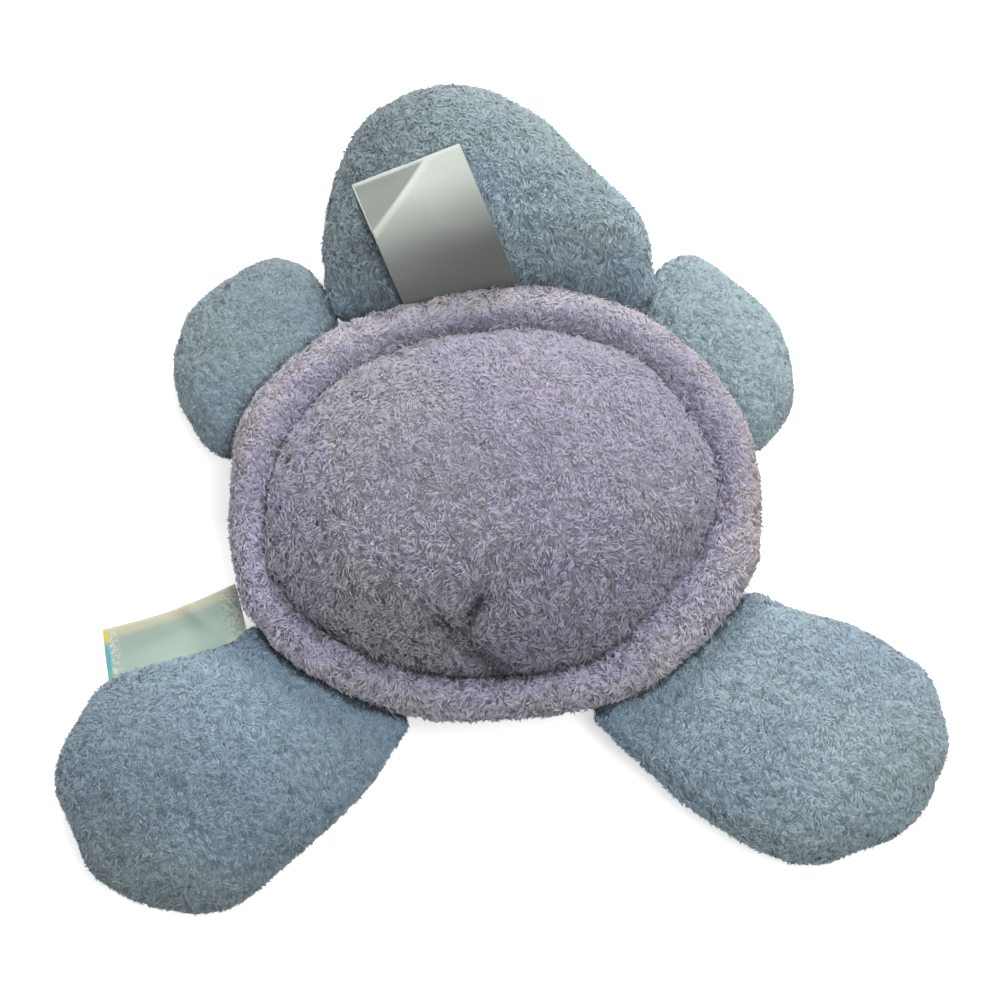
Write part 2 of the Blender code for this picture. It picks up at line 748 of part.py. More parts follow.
def tag_rows():
    """Rows across the side tag: out along its lower leaf, round the loose fold and back."""
    root_half = TAG_ROOT_SPACING / 2
    fold_half = TAG_FOLD_SPACING / 2
    straight = TAG_DEPTH - fold_half
    profile = []
    for step in range(TAG_STEPS + 1):
        share = step / TAG_STEPS
        profile.append((straight * share, -mix(root_half, fold_half, smooth(share))))
    for step in range(1, FOLD_STEPS):
        angle = math.pi * step / FOLD_STEPS
        profile.append((straight + fold_half * math.sin(angle), -fold_half * math.cos(angle)))
    profile += [(out, -height) for out, height in reversed(profile[:TAG_STEPS + 1])]
    return [[Vector((out, side * TAG_WIDTH / 2, height)) for side in (-1, 0, 1)] for out, height in profile]


def build_side_tag(leg, collection, materials):
    centre, line, outward = tag_root()
    across = Vector((0, 0, 1)).cross(outward).normalized()
    up = outward.cross(across)
    matrix = Matrix((outward, across, up)).transposed().to_4x4()
    matrix.translation = centre
    hinge = add_hinge("side_tag_hinge", matrix, collection, leg)
    add_ribbon("side_tag", tag_rows(), TAG_THICKNESS, materials["mint"], collection, hinge)


def limb_names(limb):
    if limb is HEAD:
        return "head_back_cover", "head_face_cover", "head_stuffing"
    return limb.name + "_top_cover", limb.name + "_bottom_cover", limb.name + "_stuffing"


def main():
    for old in list(bpy.data.objects):
        bpy.data.objects.remove(old, do_unlink=True)
    collection = bpy.data.collections.new("plush_turtle")
    bpy.context.scene.collection.children.link(collection)
    materials = {
        "lilac": new_material("lilac_plush", LILAC, PLUSH_ROUGHNESS),
        "lilac_deep": new_material("lilac_rim_plush", LILAC_DEEP, PLUSH_ROUGHNESS),
        "blue": new_material("blue_plush", BLUE, PLUSH_ROUGHNESS),
        "fibre": new_material("polyester_filling", FIBRE_WHITE, PLUSH_ROUGHNESS),
        "thread": new_material("lilac_thread", THREAD_LILAC, THREAD_ROUGHNESS),
        "dark_thread": new_material("dark_embroidery_thread", THREAD_DARK, THREAD_ROUGHNESS),
        "silver": new_material("silver_satin", SATIN_SILVER, SATIN_ROUGHNESS),
        "mint": new_material("mint_satin", SATIN_MINT, SATIN_ROUGHNESS),
    }
    for limb in LIMBS:
        materials[limb.name] = new_material(limb.name + "_plush", limb.colour, PLUSH_ROUGHNESS)

    build_shell(collection, materials)
    build_stitches(collection, materials)
    for limb in LIMBS:
        hinge = add_hinge(limb.name + "_hinge", hinge_matrix(limb), collection)
        build_limb(limb, limb_names(limb), hinge, collection, materials)
        if limb is HEAD:
            build_face(hinge, collection, materials)
            build_care_label(hinge, collection, materials)
        if limb is REAR_LEFT:
            build_side_tag(hinge, collection, materials)


main()
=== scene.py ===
"""The look of the plush turtle: stuffed forms with curly pile, satin labels and an embroidered face."""
import math
from collections import namedtuple

import bmesh
import bpy
import numpy as np
from mathutils import Matrix, Vector
from mathutils.bvhtree import BVHTree
from mathutils.kdtree import KDTree


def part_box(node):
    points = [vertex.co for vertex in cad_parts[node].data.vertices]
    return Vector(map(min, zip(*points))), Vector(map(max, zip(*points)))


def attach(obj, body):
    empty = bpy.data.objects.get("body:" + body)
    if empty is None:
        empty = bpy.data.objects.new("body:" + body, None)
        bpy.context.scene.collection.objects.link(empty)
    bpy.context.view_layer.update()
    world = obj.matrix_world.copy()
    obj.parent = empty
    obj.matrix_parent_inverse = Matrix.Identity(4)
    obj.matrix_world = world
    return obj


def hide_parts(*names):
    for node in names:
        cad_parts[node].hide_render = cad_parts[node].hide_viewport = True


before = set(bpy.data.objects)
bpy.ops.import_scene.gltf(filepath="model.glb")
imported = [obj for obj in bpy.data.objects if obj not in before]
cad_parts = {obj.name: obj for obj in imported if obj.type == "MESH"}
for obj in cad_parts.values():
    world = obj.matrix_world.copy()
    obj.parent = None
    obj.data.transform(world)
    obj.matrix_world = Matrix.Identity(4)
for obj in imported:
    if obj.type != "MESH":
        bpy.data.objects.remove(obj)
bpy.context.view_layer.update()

# Camera: tilted towards the head's side, as in the photograph
IMAGE_SIZE = 1000
METRES_PER_PIXEL = 0.00025
VIEW_TILT = math.radians(10)
VIEW_DISTANCE = 0.62
VIEW_AIM = Vector((0.0014, 0, 0.026))
SENSOR_WIDTH = 36

# Solids that each stuffed form stands for
HEAD_NODES = ("head_back_cover", "head_face_cover", "head_stuffing")
CUSHION_NODES = ("shell_dome_cover", "belly_cover", "shell_stuffing")
RIM_NODES = ("shell_rim_cover", "shell_rim_wadding")

# Stuffed forms and their cloth simulation
TINY = 1e-12
FORM_VOXEL = 0.0022
WELD_DISTANCE = FORM_VOXEL / 100
FORM_SMOOTHING = 7
SMOOTHING_FACTOR = 0.5
CLOTH_FRAMES = 20
CLOTH_PRESSURE = 4.0
CLOTH_MASS = 0.001
SWELL_CAP = 0.0012
LUMP_SIZE = 0.016
LUMP_HEIGHT = 0.00025

# Smooth random fields
WAVE_COUNT = 9
WAVE_RANGE = (0.6, 1.5)
SHADE_PATCHES = {"size": 0.030, "seed": 21}
HUE_PATCHES = {"size": 0.030, "seed": 5}

# Pile: a tuft stands up from the skin by its height and lies over by its reach
PILE_HEIGHT = 0.0010
PILE_REACH = 0.0014
TUFT_WIDTH = 0.00048
TUFT_SIDES = (math.radians(90), math.radians(210), math.radians(330))
ROOT_DEPTH = 0.0002
LENGTH_RANGE = (0.8, 1.2)
STAND_SPREAD = 0.28
STAND_RANGE = (0.6, 1.9)
BEND_SPREAD = 0.22
TAPER = 0.25
LIE_DIRECTION = np.array((0, -0.25, 0))
# Swirls and curls of the pile: size, seed and share
SWIRLS = ((0.011, 7, 0.35), (0.0035, 8, 0.8))
CLUMP_SIZE = 0.0017
CLUMP_SHARE = 0.45
STRAND_SHARE = 0.25
GATHER_SHARE = 0.30
CLUMP_ROUND = 0.9
ROUND_SHARE = 0.60
LEAN_SHARE = 0.26

# Tufts of a full coat, and the seeds of the random draws
PIECE_TUFTS = 60000
FLIPPER_TUFTS = 36000
BELLY_TUFTS = 30000
HEAD_SEED = 101
DOME_SEED = 400
RIM_SEED = 500
BELLY_SEED = 600

# Coats of the pile: a tuft's size, its width against the usual one, its brightness, the coat's share of the
# tufts, and how many rings of corners a tuft has below its tip
Coat = namedtuple("Coat", "size breadth brightness density rings")
UNDERCOAT = Coat(0.85, 1.30, 0.43, 1.0, 1)
TOPCOAT = Coat(1.12, 0.95, 0.76, 0.33, 2)
COATS = (UNDERCOAT, TOPCOAT, TOPCOAT)
COAT_MIDDLE = 0.62

# Brightness of the tufts. The pile's UV map keeps it across, and up it keeps bands of hue from root to tip
CLUMP_CONTRAST = 0.05
STRAND_CONTRAST = 0.11
PATCH_CONTRAST = 0.04
SHADE_FLOOR = 0.7
SHADE_SLOPE = 0.5
SHADE_RANGE = (-0.6, 1.4)
SHADE_TOP = 1.6
SHADE_LIMITS = (0.01, 0.98)
TUFT_SPAN = 0.003
SHADE_MARGIN = 0.01
HUE_BANDS = 4
HUE_MARGIN = 0.04
HUE_EDGE = 0.02

# Shell: its boxes in the frame, and how its channel, crown and folds differ from the solids
RIM_LOW, RIM_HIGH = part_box("shell_rim_cover")
DOME_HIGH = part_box("shell_dome_cover")[1]
SEAM_HEIGHT = (RIM_LOW.z + RIM_HIGH.z) / 2
OUTLINE_POWER = 2.2
CHANNEL_SHIFT = -0.0022
CHANNEL_FILL = 0.8
CHANNEL_SPREAD = 0.036
MOVE_POWER = 3
LINE_PRESS = 0.30
STITCH_SINK = 0.0030
# Where the painted shade beside the rim lies, by edge_value
SEAM_PLACE = 1.024
CROWN_LIFT = 0.0007
CROWN_REACH = 16
# The pucker's folds: the spread in pixels of their painted shade, their reach, drop and press, and how deep
# the painted shade is
FOLD_SPREAD = 8
FOLD_REACH = 10
FOLD_DROP = 0.0034
FOLD_PRESS = 0.35
PAINTED_FOLD_SHADE = 0.95

# Threads
MOUTH_LIFT = 0.0011
SEAT_TERMS = 5

# Round the shell in the photograph, from its right side by way of the head, at each step: the places of
# the channel and the rim's edge as shares of an oval, how far both move, and how deep the painted shade in
# the channel and on the rim's slope is
SHELL_MIDDLE = (494, 505)
SHELL_HALF = (268, 217)
TURN_STEP = 15
CHANNEL_SHARES = (
    0.83, 0.835, 0.84, 0.86, 0.87, 0.84, 0.80, 0.79, 0.80, 0.82, 0.82, 0.835,
    0.85, 0.875, 0.88, 0.85, 0.835, 0.805, 0.79, 0.79, 0.80, 0.77, 0.755, 0.78)
EDGE_SHARES = (
    0.99, 1.005, 1.02, 1.025, 1.05, 1.03, 0.995, 0.965, 0.99, 1.01, 1.01, 1.00,
    0.995, 1.00, 1.02, 1.045, 1.03, 1.00, 0.985, 1.01, 1.01, 1.00, 1.00, 1.00)
CHANNEL_MOVES = (
    -0.03, -0.03, -0.03, -0.01, 0.005, 0.01, -0.01, -0.02, -0.05, -0.045, -0.05, -0.03,
    -0.01, 0.01, 0.01, -0.015, -0.02, -0.015, -0.02, -0.04, -0.06, -0.10, -0.115, -0.08)
EDGE_MOVES = (
    0, -0.01, -0.02, -0.025, 0.005, 0, -0.02, -0.055, -0.04, -0.035, -0.01, 0,
    0, 0, 0, 0.01, 0, 0, 0, 0, -0.01, -0.035, -0.03, 0)
# Painted shade of the channel's line, which also presses its tufts shorter
LINE_DEPTHS = (
    0.05, 0.08, 0.25, 0.35, 0.42, 0.46, 0.40, 0.36, 0.34, 0.28, 0.14, 0.05,
    0.02, 0.04, 0.50, 0.80, 0.80, 0.92, 0.96, 0.93, 0.75, 0.40, 0.15, 0.05)
# Painted shade on the rim's slope that faces the dome
PAINTED_SLOPE_SHADES = (
    0.06, 0.10, 0.22, 0.30, 0.36, 0.42, 0.46, 0.44, 0.36, 0.28, 0.15, 0.08,
    0.04, 0.02, 0.02, 0.02, 0.02, 0.02, 0.02, 0.02, 0.02, 0.02, 0.02, 0.04)

# Places in the photograph, in pixels, and where the crease ends as shares of the label's two sides
LABEL_CORNERS = ((404, 306), (516, 279), (460, 145), (354, 186))
LABEL_CREASE_TOP = (426, 155)
LABEL_CREASE_SIDE = (373, 233)
CREASE_TIP_SHARE = 0.68
CREASE_SIDE_SHARE = 0.637
TAG_CORNERS = ((109, 680), (246, 627), (235, 584), (103, 629))
PUCKER_FOLDS = (((446, 630), (507, 675)), ((480, 600), (466, 624)), ((437, 621), (446, 630)))
CROWN_NUB = (495, 430)
TAN_SPOT = (752, 515)
TAN_REACHES = (16, 80)
RELIEF_CORNER = (430, 130)
RELIEF_REACHES = (-200, 130)

# How far each form stands proud of its solids, and pushes on its outline: pixel, distance outwards, reach
SHELL_PUFF = 0.0008
HEAD_PUFF = -0.0002
LIMB_PUFF = 0.0005
OUTLINE_PUSHES = {
    "head_plush": (((585, 150), -0.0008, 55), ((450, 80), -0.0009, 60), ((350, 130), -0.0014, 40),
        ((520, 102), -0.0006, 35), ((642, 215), 0.0013, 30), ((327, 225), 0.0008, 50),
        ((337, 314), 0.0056, 26), ((648, 302), 0.0036, 24)),
    "front_left_flipper_plush": (((185, 415), -0.0021, 45), ((222, 268), -0.0009, 35),
        ((172, 380), 0.0009, 30), ((332, 314), 0.0052, 28)),
    "front_right_flipper_plush": (((735, 275), -0.0010, 40), ((785, 430), -0.0012, 25),
        ((650, 306), 0.0042, 28)),
    "shell_rim_plush": (((228, 490), -0.0016, 55), ((233, 575), -0.0008, 25), ((763, 500), -0.0009, 60),
        ((246, 602), 0.0012, 22)),
    "rear_left_leg_plush": (((70, 712), -0.0030, 30), ((58, 782), 0.0026, 28), ((85, 868), 0.0007, 40),
        ((248, 890), 0.0010, 30), ((400, 724), 0.0046, 20), ((385, 758), 0.0008, 40),
        ((256, 632), 0.0046, 20)),
    "rear_right_leg_plush": (((790, 607), -0.0008, 40), ((945, 745), 0.0018, 30), ((910, 838), 0.0030, 38),
        ((650, 782), -0.0010, 40), ((770, 860), -0.0009, 45), ((598, 717), 0.0046, 20))}

# Satin ribbons
RIBBON_THICKNESS = 0.00022
WEAVE_STEP = 0.0005
EDGE_ANGLE = math.radians(40)
FOLD_STEPS = 6
LABEL_ROWS = 55
LABEL_COLUMNS = 41
LABEL_START = -0.08
LABEL_TIP_PLACE = (LABEL_ROWS - 1) / (2 * LABEL_ROWS + FOLD_STEPS - 2)
LABEL_FLAT = (0.0290, 0.0700)
LABEL_LIFT = 0.0016
LABEL_CLEAR_FROM = 0.15
LABEL_CLEAR_AT = 0.5
LABEL_ARCH = 0.0034
LABEL_TIP_LIFT = 0.0008
LABEL_FLARE = 0.0009
FLARE_REACH = 0.06
LABEL_CORNER_DROP = math.radians(34)
CORNER_SOFTNESS = 0.0008
LABEL_CORNER_LIFT = 0.0010
OPEN_DEPTH = 1.0
CREASE_ROUND = 0.0004
CORNER_MARKS = (((378, 186), (387, 206)), ((394, 177), (399, 190)))
MARK_HEIGHT = 0.00022
MARK_REACH = 2.2
LEAF_SPACING = 0.0008
LEAF_SKEW = 0.0005
TAG_ROWS = 31
TAG_COLUMNS = 61
TAG_START = -0.22
TAG_END = 0.93
TAG_FLAT = (0.0345, 0.0300)
TAG_HALF_ROOT = 0.0004
TAG_HALF_FOLD = 0.0011
TAG_BULGE = 0.00077
TAG_SAG = 5
TAG_LIFT = 0.0016
TAG_LIFT_REACH = 0.40
LOWER_LEAF_SHARE = 0.8
# The tag's waves at its root: place, reach. Its ripples: place at the root, place at the fold, reach, height
TAG_WAVES = ((0.36, 0.20), (0.84, 0.12))
TAG_RIPPLES = ((0.82, 0.62, 0.05, 0.0005), (0.70, 0.50, 0.09, -0.0005))

# Soft steps: start, end, and unless they are 0 and 1, the values before the start and past the end. They go
# by how far a face looks up, by rim_value, along the tag, by pixels, and by the distance to a clump's middle
UNDERSIDE_TUFTS = (-0.4, 0.1, 0.35, 1)
HIDDEN_TUFTS = (0.80, 0.90, 0.03, 1)
TAG_OPENING = (-0.1, 0.5)
LABEL_PRESS = (0, -8, 0.45, 1)
# Painted shade on the head, darker towards its top and towards its left side
PAINTED_HEAD_TOP_SHADE = (260, 140, 1, 0.77)
PAINTED_HEAD_LEFT_SHADE = (470, 370, 1, 0.71)
HEAD_RELIEF = (0, 1, 0.75, 1.60)
# Painted shade in the gaps between clumps
PAINTED_CLUMP_SHADE = (0.2, 0.7, 1.125, 0.875)
# Along the shell, from 1 at its head end to -1 at its foot end, or across it
DOME_LENGTH = (0, -1, 0.90, 1.10)
# Painted light on the dome: darker towards the feet and lighter on the left side
PAINTED_DOME_LIGHT = (1 / 3, -7 / 9, 1.02, 0.80)
PAINTED_DOME_SIDE_LIGHT = (0, -1, 1, 1.08)
# The strands' contrast, which rises towards the feet as painted light and shade
SHELL_RELIEF = (0.30, -0.70, 0.50, 2.80)
TAN_TUFTS = (-0.5, 0.5, 0.05, 0.30)
# By channel_value, and on the head and limbs by edge_value
# Painted light on the rim's crest, and the place and spread of the painted shade on its slope
PAINTED_CREST_LIGHT = (1.10, 1.16, 0, 0.35)
OUTER_RIM = (1.12, 1.18)
SLOPE_PLACE = 1.045
SLOPE_SPREAD = 0.060
VIOLET_PLACE = 1.06
VIOLET_SPREAD = 0.05
NEAR_HUE = (1.28, 1.03, 0, 0.8)
FAR_HUE = (1.45, 1.95, 0, -1.6)
# Where a limb's painted light changes from near the rim to its tip, by edge_value
LIMB_SPAN = (1.1, 1.9)

# Colours, and the share of tufts or the spread of hues that goes with them
WHITE = (1, 1, 1)
BLUE_HUES = ((0.40, 0.51, 0.55), (0.37, 0.48, 0.56), (0.34, 0.46, 0.56), (0.31, 0.44, 0.56))
LILAC_HUES = ((0.41, 0.40, 0.45), (0.40, 0.375, 0.50), (0.42, 0.39, 0.47), (0.46, 0.40, 0.42))
GREY_LILAC = 0
VIOLET = 1
TAN = 3
LAST_LILAC = 2.9
RIM_GAIN = 1.12
HUE_SPREAD = 0.3
BLUE_PATCHES = 0.6
LILAC_PATCHES = 0.7
LILAC_MIDDLE = 1.2
HEAD_HUE = 0.8
BELLY_HUE = 2.0
OUTER_SHARE = 0.75
CROWN_END = 0.6
CROWN_SHARE = 0.5
TAN_SHARE = 0.8
SILVER = (0.60, 0.65, 0.59)
MINT = (0.36, 0.47, 0.40)
STRAW = (0.54, 0.50, 0.35)
SEA_GREEN = (0.14, 0.40, 0.30)
TEAL = (0.10, 0.36, 0.44)
YELLOW = (0.62, 0.52, 0.12)
TAG_THREAD = (0.60, 0.62, 0.55)
THREAD_DARK = (0.02, 0.02, 0.03)
THREAD_LILAC = (0.25, 0.21, 0.36)
FLOOR = (0.93, 0.93, 0.93)

# Each limb's pile: painted light as a brightness and how it drops towards the tip, depth and width of the
# painted shade beside the rim, hue, length, contrast, tufts and seed
LimbPile = namedtuple("LimbPile", "gain fall seam hue length relief tufts seed")
# Painted shade beside the rim on the head, the flippers and the legs: its depth and width
HEAD_SEAM_SHADE = (0.40, 0.12)
FLIPPER_SEAM_SHADE = (0.12, 0.03)
LEG_SEAM_SHADE = (0.78, 0.018)
LIMB_PILES = {
    "front_left_flipper": LimbPile(0.78, 0, FLIPPER_SEAM_SHADE, 0.2, 0.70, 0.20, FLIPPER_TUFTS, 200),
    "front_right_flipper": LimbPile(1.05, 0, FLIPPER_SEAM_SHADE, 0.0, 0.70, 0.20, FLIPPER_TUFTS, 210),
    "rear_left_leg": LimbPile(0.865, 0.17, LEG_SEAM_SHADE, 2.7, 0.82, 0.95, PIECE_TUFTS, 220),
    "rear_right_leg": LimbPile(0.985, 0.04, LEG_SEAM_SHADE, 1.6, 0.82, 0.95, PIECE_TUFTS, 230)}

# Materials: shader values, a bump's strength and distance, textures' sizes, and brightness along ramps, some
# of which are painted light and shade
PILE_FINISH = {"Roughness": 0.8, "Sheen Weight": 0.2, "Sheen Roughness": 0.5}
# Painted shade deep in the pile: each tuft darker at its root than at its tip
PAINTED_DEPTH_SHADE = ((0, 0.52), (0.5, 0.90), (1, 1.12))
# The backing's darker greys are painted shade deep in the pile
BLUE_BACKING = ((0.3, 0.60), (0.7, 0.85))
LILAC_BACKING = ((0.3, 0.55), (0.7, 0.75))
BACKING_FINISH = {"Roughness": 0.95}
BACKING_BUMP = (0.6, 0.0005)
KNIT = {"Scale": 900, "Detail": 3}
SPECKS = {"Scale": 1400, "Detail": 3}
DIAGONAL_RADIANS = 10
TWILL = {"Scale": math.tau / DIAGONAL_RADIANS / math.sqrt(2), "Distortion": 1.5, "Detail": 1}
LABEL_FINISH = {"Metallic": 0.2, "Roughness": 0.42, "Anisotropic": 0.4}
LABEL_BUMP = (0.35, 0.0001)
LABEL_WEAVE = ((0.1, 0.80), (0.9, 1))
# Painted light and shade of the label: a shade across it, a rise to its tip, a highlight on the crease, shade
# past the crease, and light from the fold on
PAINTED_LABEL_SHADE = ((0, 0.62), (0.5, 0.47), (1, 0.36))
PAINTED_LABEL_RISE = ((0.35, 0), (0.85, 1))
PAINTED_LABEL_TIP_LIGHT = 0.85
PAINTED_LABEL_HIGHLIGHT = ((0.42, 0), (0.47, 1), (0.50, 1), (0.52, 0))
PAINTED_LABEL_CORNER_SHADE = ((0.50, 0), (0.53, 1))
PAINTED_LABEL_CORNER_LIGHT = 0.44
PAINTED_LABEL_FOLD_LIGHT = ((0.98, 0), (1, 1))
TAG_FINISH = {"Roughness": 0.42, "Anisotropic": 0.3}
TAG_BUMP = (0.12, 0.0001)
TAG_WEAVE = ((0.1, 0.95), (0.9, 1))
# Painted light along the tag: lighter at its root than towards its fold
PAINTED_TAG_LIGHT = ((0.08, 1), (0.20, 0.96), (0.30, 0.80), (0.40, 0.84))
TAG_FOLD = ((0.37, 0), (0.42, 0.7), (0.5, 0.9), (0.58, 0.7), (0.63, 0))
TAG_SPECKS = ((0.46, 0), (0.56, 1))
TAG_ENDS = ((0.05, 0.9), (0.13, 0), (0.84, 0), (0.93, 0.9))
TAG_STRIP = ((0.030, 1), (0.045, 0))
TAG_GLINT = ((0.10, SEA_GREEN), (0.22, TEAL), (0.33, TEAL), (0.39, YELLOW))
THREAD_ROUGHNESS = 0.45
THREAD_SHEEN = 0.2
THREAD_BUMP = (0.7, 0.0003)
THREAD_ROWS = {"Scale": 900, "Distortion": 0.8}
THREAD_LIGHT = ((0.1, 0.5), (0.7, 1))

# Stage: the floor glows for the camera, more so far out. Each light has a place and a power
FLOOR_HALF = 2.0
FLOOR_ROUGHNESS = 0.9
WORLD_LIGHT = 0.14
NEAR_GLOW = 0.55
FAR_GLOW = 1.0
GLOW_START = 0.25
GLOW_RISE = 0.6
LIGHT_SIZE = 0.35
LIGHTS = {"window_light": ((0.05, 0.65, 0.45), 4.0), "side_light": ((0.50, 0.35, 0.55), 1.5),
          "fill_light": ((-0.55, 0.05, 0.28), 1.1), "ceiling_light": ((0.22, -0.10, 0.88), 4.2)}


def mix(start, end, share):
    return start + (end - start) * share


def step(value, start, end, before=0, past=1):
    """A soft step from one value before the start to another past the end."""
    share = np.clip((value - start) / (end - start), 0, 1)
    return mix(before, past, share * share * (3 - 2 * share))


def bell(value, reach):
    """1 at zero, falling off to both sides within about twice the reach."""
    return np.exp(-(value / reach) ** 2)


def unit(vectors):
    length = np.linalg.norm(vectors, axis=-1, keepdims=True)
    return vectors / np.maximum(length, TINY)


def wave_field(points, size, seed):
    """A smooth random value, mostly from -1 to 1, at each point, with features of about the given size."""
    random = np.random.default_rng(seed)
    waves = unit(random.normal(size=(WAVE_COUNT, 3))) * random.uniform(*WAVE_RANGE, (WAVE_COUNT, 1))
    phases = random.uniform(0, math.tau, WAVE_COUNT)
    return np.sin(points @ waves.T * math.pi / size + phases).sum(axis=1) * math.sqrt(2 / WAVE_COUNT)


def vector_field(points, size, seed):
    return np.stack([wave_field(points, size, seed + axis) for axis in range(3)], axis=1)


def view_axes():
    """The camera's right, up and back directions."""
    back = Vector((0, -math.sin(VIEW_TILT), math.cos(VIEW_TILT)))
    right = Vector((1, 0, 0))
    return right, back.cross(right), back


def sight(pixel):
    """The camera's place and the direction in which it sees a pixel of the photograph."""
    right, up, back = view_axes()
    eye = VIEW_AIM + back * VIEW_DISTANCE
    side = (pixel[0] - IMAGE_SIZE / 2) * METRES_PER_PIXEL
    rise = (IMAGE_SIZE / 2 - pixel[1]) * METRES_PER_PIXEL
    return eye, (VIEW_AIM + right * side + up * rise - eye).normalized()


def at_height(pixel, height):
    """The point at a height that a pixel of the photograph shows."""
    eye, line = sight(pixel)
    return eye + line * ((height - eye.z) / line.z)


def pixels_of(points):
    """The photograph's pixels at which points are seen."""
    right, up, back = (np.array(axis) for axis in view_axes())
    eye = np.array(VIEW_AIM) + back * VIEW_DISTANCE
    away = points - eye
    scale = VIEW_DISTANCE / METRES_PER_PIXEL / (away @ -back)
    return np.stack([IMAGE_SIZE / 2 + away @ right * scale, IMAGE_SIZE / 2 - away @ up * scale], axis=1)


def new_object(name, data):
    piece = bpy.data.objects.new(name, data)
    bpy.context.scene.collection.objects.link(piece)
    return piece


def mesh_object(name, bm):
    """Makes a bmesh an object of its own."""
    piece = new_object(name, bpy.data.meshes.new(name))
    bm.to_mesh(piece.data)
    bm.free()
    return piece


def settle(piece):
    """Works the piece's modifiers into its mesh."""
    graph = bpy.context.evaluated_depsgraph_get()
    mesh = bpy.data.meshes.new_from_object(piece.evaluated_get(graph))
    piece.modifiers.clear()
    piece.data = mesh


def vectors_of(mesh, name="co"):
    """The places of a mesh's vertices, or their normals."""
    vectors = np.empty(len(mesh.vertices) * 3, np.float32)
    mesh.vertices.foreach_get(name, vectors)
    return vectors.reshape(-1, 3).astype(float)


def set_points(mesh, points):
    mesh.vertices.foreach_set("co", points.astype(np.float32).ravel())
    mesh.update()


def surface_tree(piece):
    return BVHTree.FromPolygons(vectors_of(piece.data), [list(face.vertices) for face in piece.data.polygons])


class Nodes:
    """Short calls to add and join the nodes of a tree."""

    def __init__(self, tree):
        self.tree = tree

    def add(self, kind, **values):
        node = self.tree.nodes.new(kind)
        for name, value in values.items():
            setattr(node, name, value)
        return node

    def feed(self, slot, value):
        """Links a socket to a slot, or sets the slot to a plain value."""
        if isinstance(value, bpy.types.NodeSocket):
            self.tree.links.new(value, slot)
        else:
            slot.default_value = value

    def math(self, operation, *values):
        node = self.add("ShaderNodeMath", operation=operation)
        for slot, value in zip(node.inputs, values):
            self.feed(slot, value)
        return node.outputs[0]

    def seen_rays(self):
        """1 for what the camera sees, straight or in a gloss or glass, and 0 for light on the object."""
        path = self.add("ShaderNodeLightPath")
        glossy = self.math("MAXIMUM", path.outputs["Is Camera Ray"], path.outputs["Is Glossy Ray"])
        return self.math("MAXIMUM", glossy, path.outputs["Is Transmission Ray"])


class Shader(Nodes):
    """A material with a Principled shader."""

    def __init__(self, name, finish):
        self.material = bpy.data.materials.new(name)
        self.material.use_nodes = True
        super().__init__(self.material.node_tree)
        self.shader = self.tree.nodes["Principled BSDF"]
        for slot, value in finish.items():
            self.feed(self.shader.inputs[slot], value)

    def ramp(self, value, stops, interpolation="LINEAR"):
        node = self.add("ShaderNodeValToRGB")
        node.color_ramp.interpolation = interpolation
        elements = node.color_ramp.elements
        while len(elements) < len(stops):
            elements.new(stops[-1][0])
        for element, (position, colour) in zip(elements, stops):
            element.position = position
            element.color = (*colour, 1)
        self.feed(node.inputs[0], value)
        return node.outputs[0]

    def shades(self, value, stops, hue=WHITE):
        """A ramp of one hue at several brightnesses."""
        return self.ramp(value, [(position, shaded(hue, light)) for position, light in stops])

    def blend(self, kind, first, second, share=1.0):
        node = self.add("ShaderNodeMix", data_type="RGBA", blend_type=kind)
        colours = [slot for slot in node.inputs if slot.type == "RGBA"]
        for slot, value in zip(colours, (first, second)):
            self.feed(slot, value if isinstance(value, bpy.types.NodeSocket) else (*value, 1))
        self.feed(node.inputs["Factor"], share)
        return next(slot for slot in node.outputs if slot.type == "RGBA")

    def texture(self, kind, sizes, vector=None, **values):
        """The brightness of a texture, which lies in the object's space unless another vector is given."""
        node = self.add(kind, **values)
        for slot, size in sizes.items():
            self.feed(node.inputs[slot], size)
        self.feed(node.inputs["Vector"], vector or self.add("ShaderNodeTexCoord").outputs["Object"])
        return node.outputs["Fac"]

    def places(self, uv_map):
        """The two coordinates of a UV map."""
        uv = self.add("ShaderNodeUVMap", uv_map=uv_map)
        split = self.add("ShaderNodeSeparateXYZ")
        self.feed(split.inputs[0], uv.outputs[0])
        return split.outputs["X"], split.outputs["Y"]

    def bump(self, height, strength, distance):
        node = self.add("ShaderNodeBump")
        self.feed(node.inputs["Strength"], strength)
        self.feed(node.inputs["Distance"], distance)
        self.feed(node.inputs["Height"], height)
        self.feed(self.shader.inputs["Normal"], node.outputs[0])

    def colour(self, source):
        self.feed(self.shader.inputs["Base Color"], source)


def shaded(hue, light):
    return tuple(part * light for part in hue)


def pile_material(name, hues):
    """Plush pile: each tuft's brightness, hue and place from root to tip are kept in its UV map."""
    shader = Shader(name, PILE_FINISH)
    across, along = shader.places("OFBake")
    row = shader.math("MULTIPLY", along, HUE_BANDS)
    band = shader.math("DIVIDE", shader.math("FLOOR", row), HUE_BANDS)
    stops = [(max(index / HUE_BANDS - HUE_EDGE, 0), hue) for index, hue in enumerate(hues)]
    hue = shader.ramp(band, stops, "CONSTANT")
    brightness = shader.math("MULTIPLY", across, SHADE_TOP)
    # Painted shade: darker towards each tuft's root
    depth = shader.shades(shader.math("FRACT", row), PAINTED_DEPTH_SHADE)
    shader.colour(shader.blend("MULTIPLY", shader.blend("MULTIPLY", hue, brightness), depth))
    return shader.material


def backing_material(name, hue, stops):
    """The knitted backing under the pile, darker than its tips, which is painted shade deep in the pile."""
    shader = Shader(name, BACKING_FINISH)
    spots = shader.texture("ShaderNodeTexNoise", KNIT)
    shader.colour(shader.shades(spots, stops, hue))
    shader.bump(spots, *BACKING_BUMP)
    return shader.material


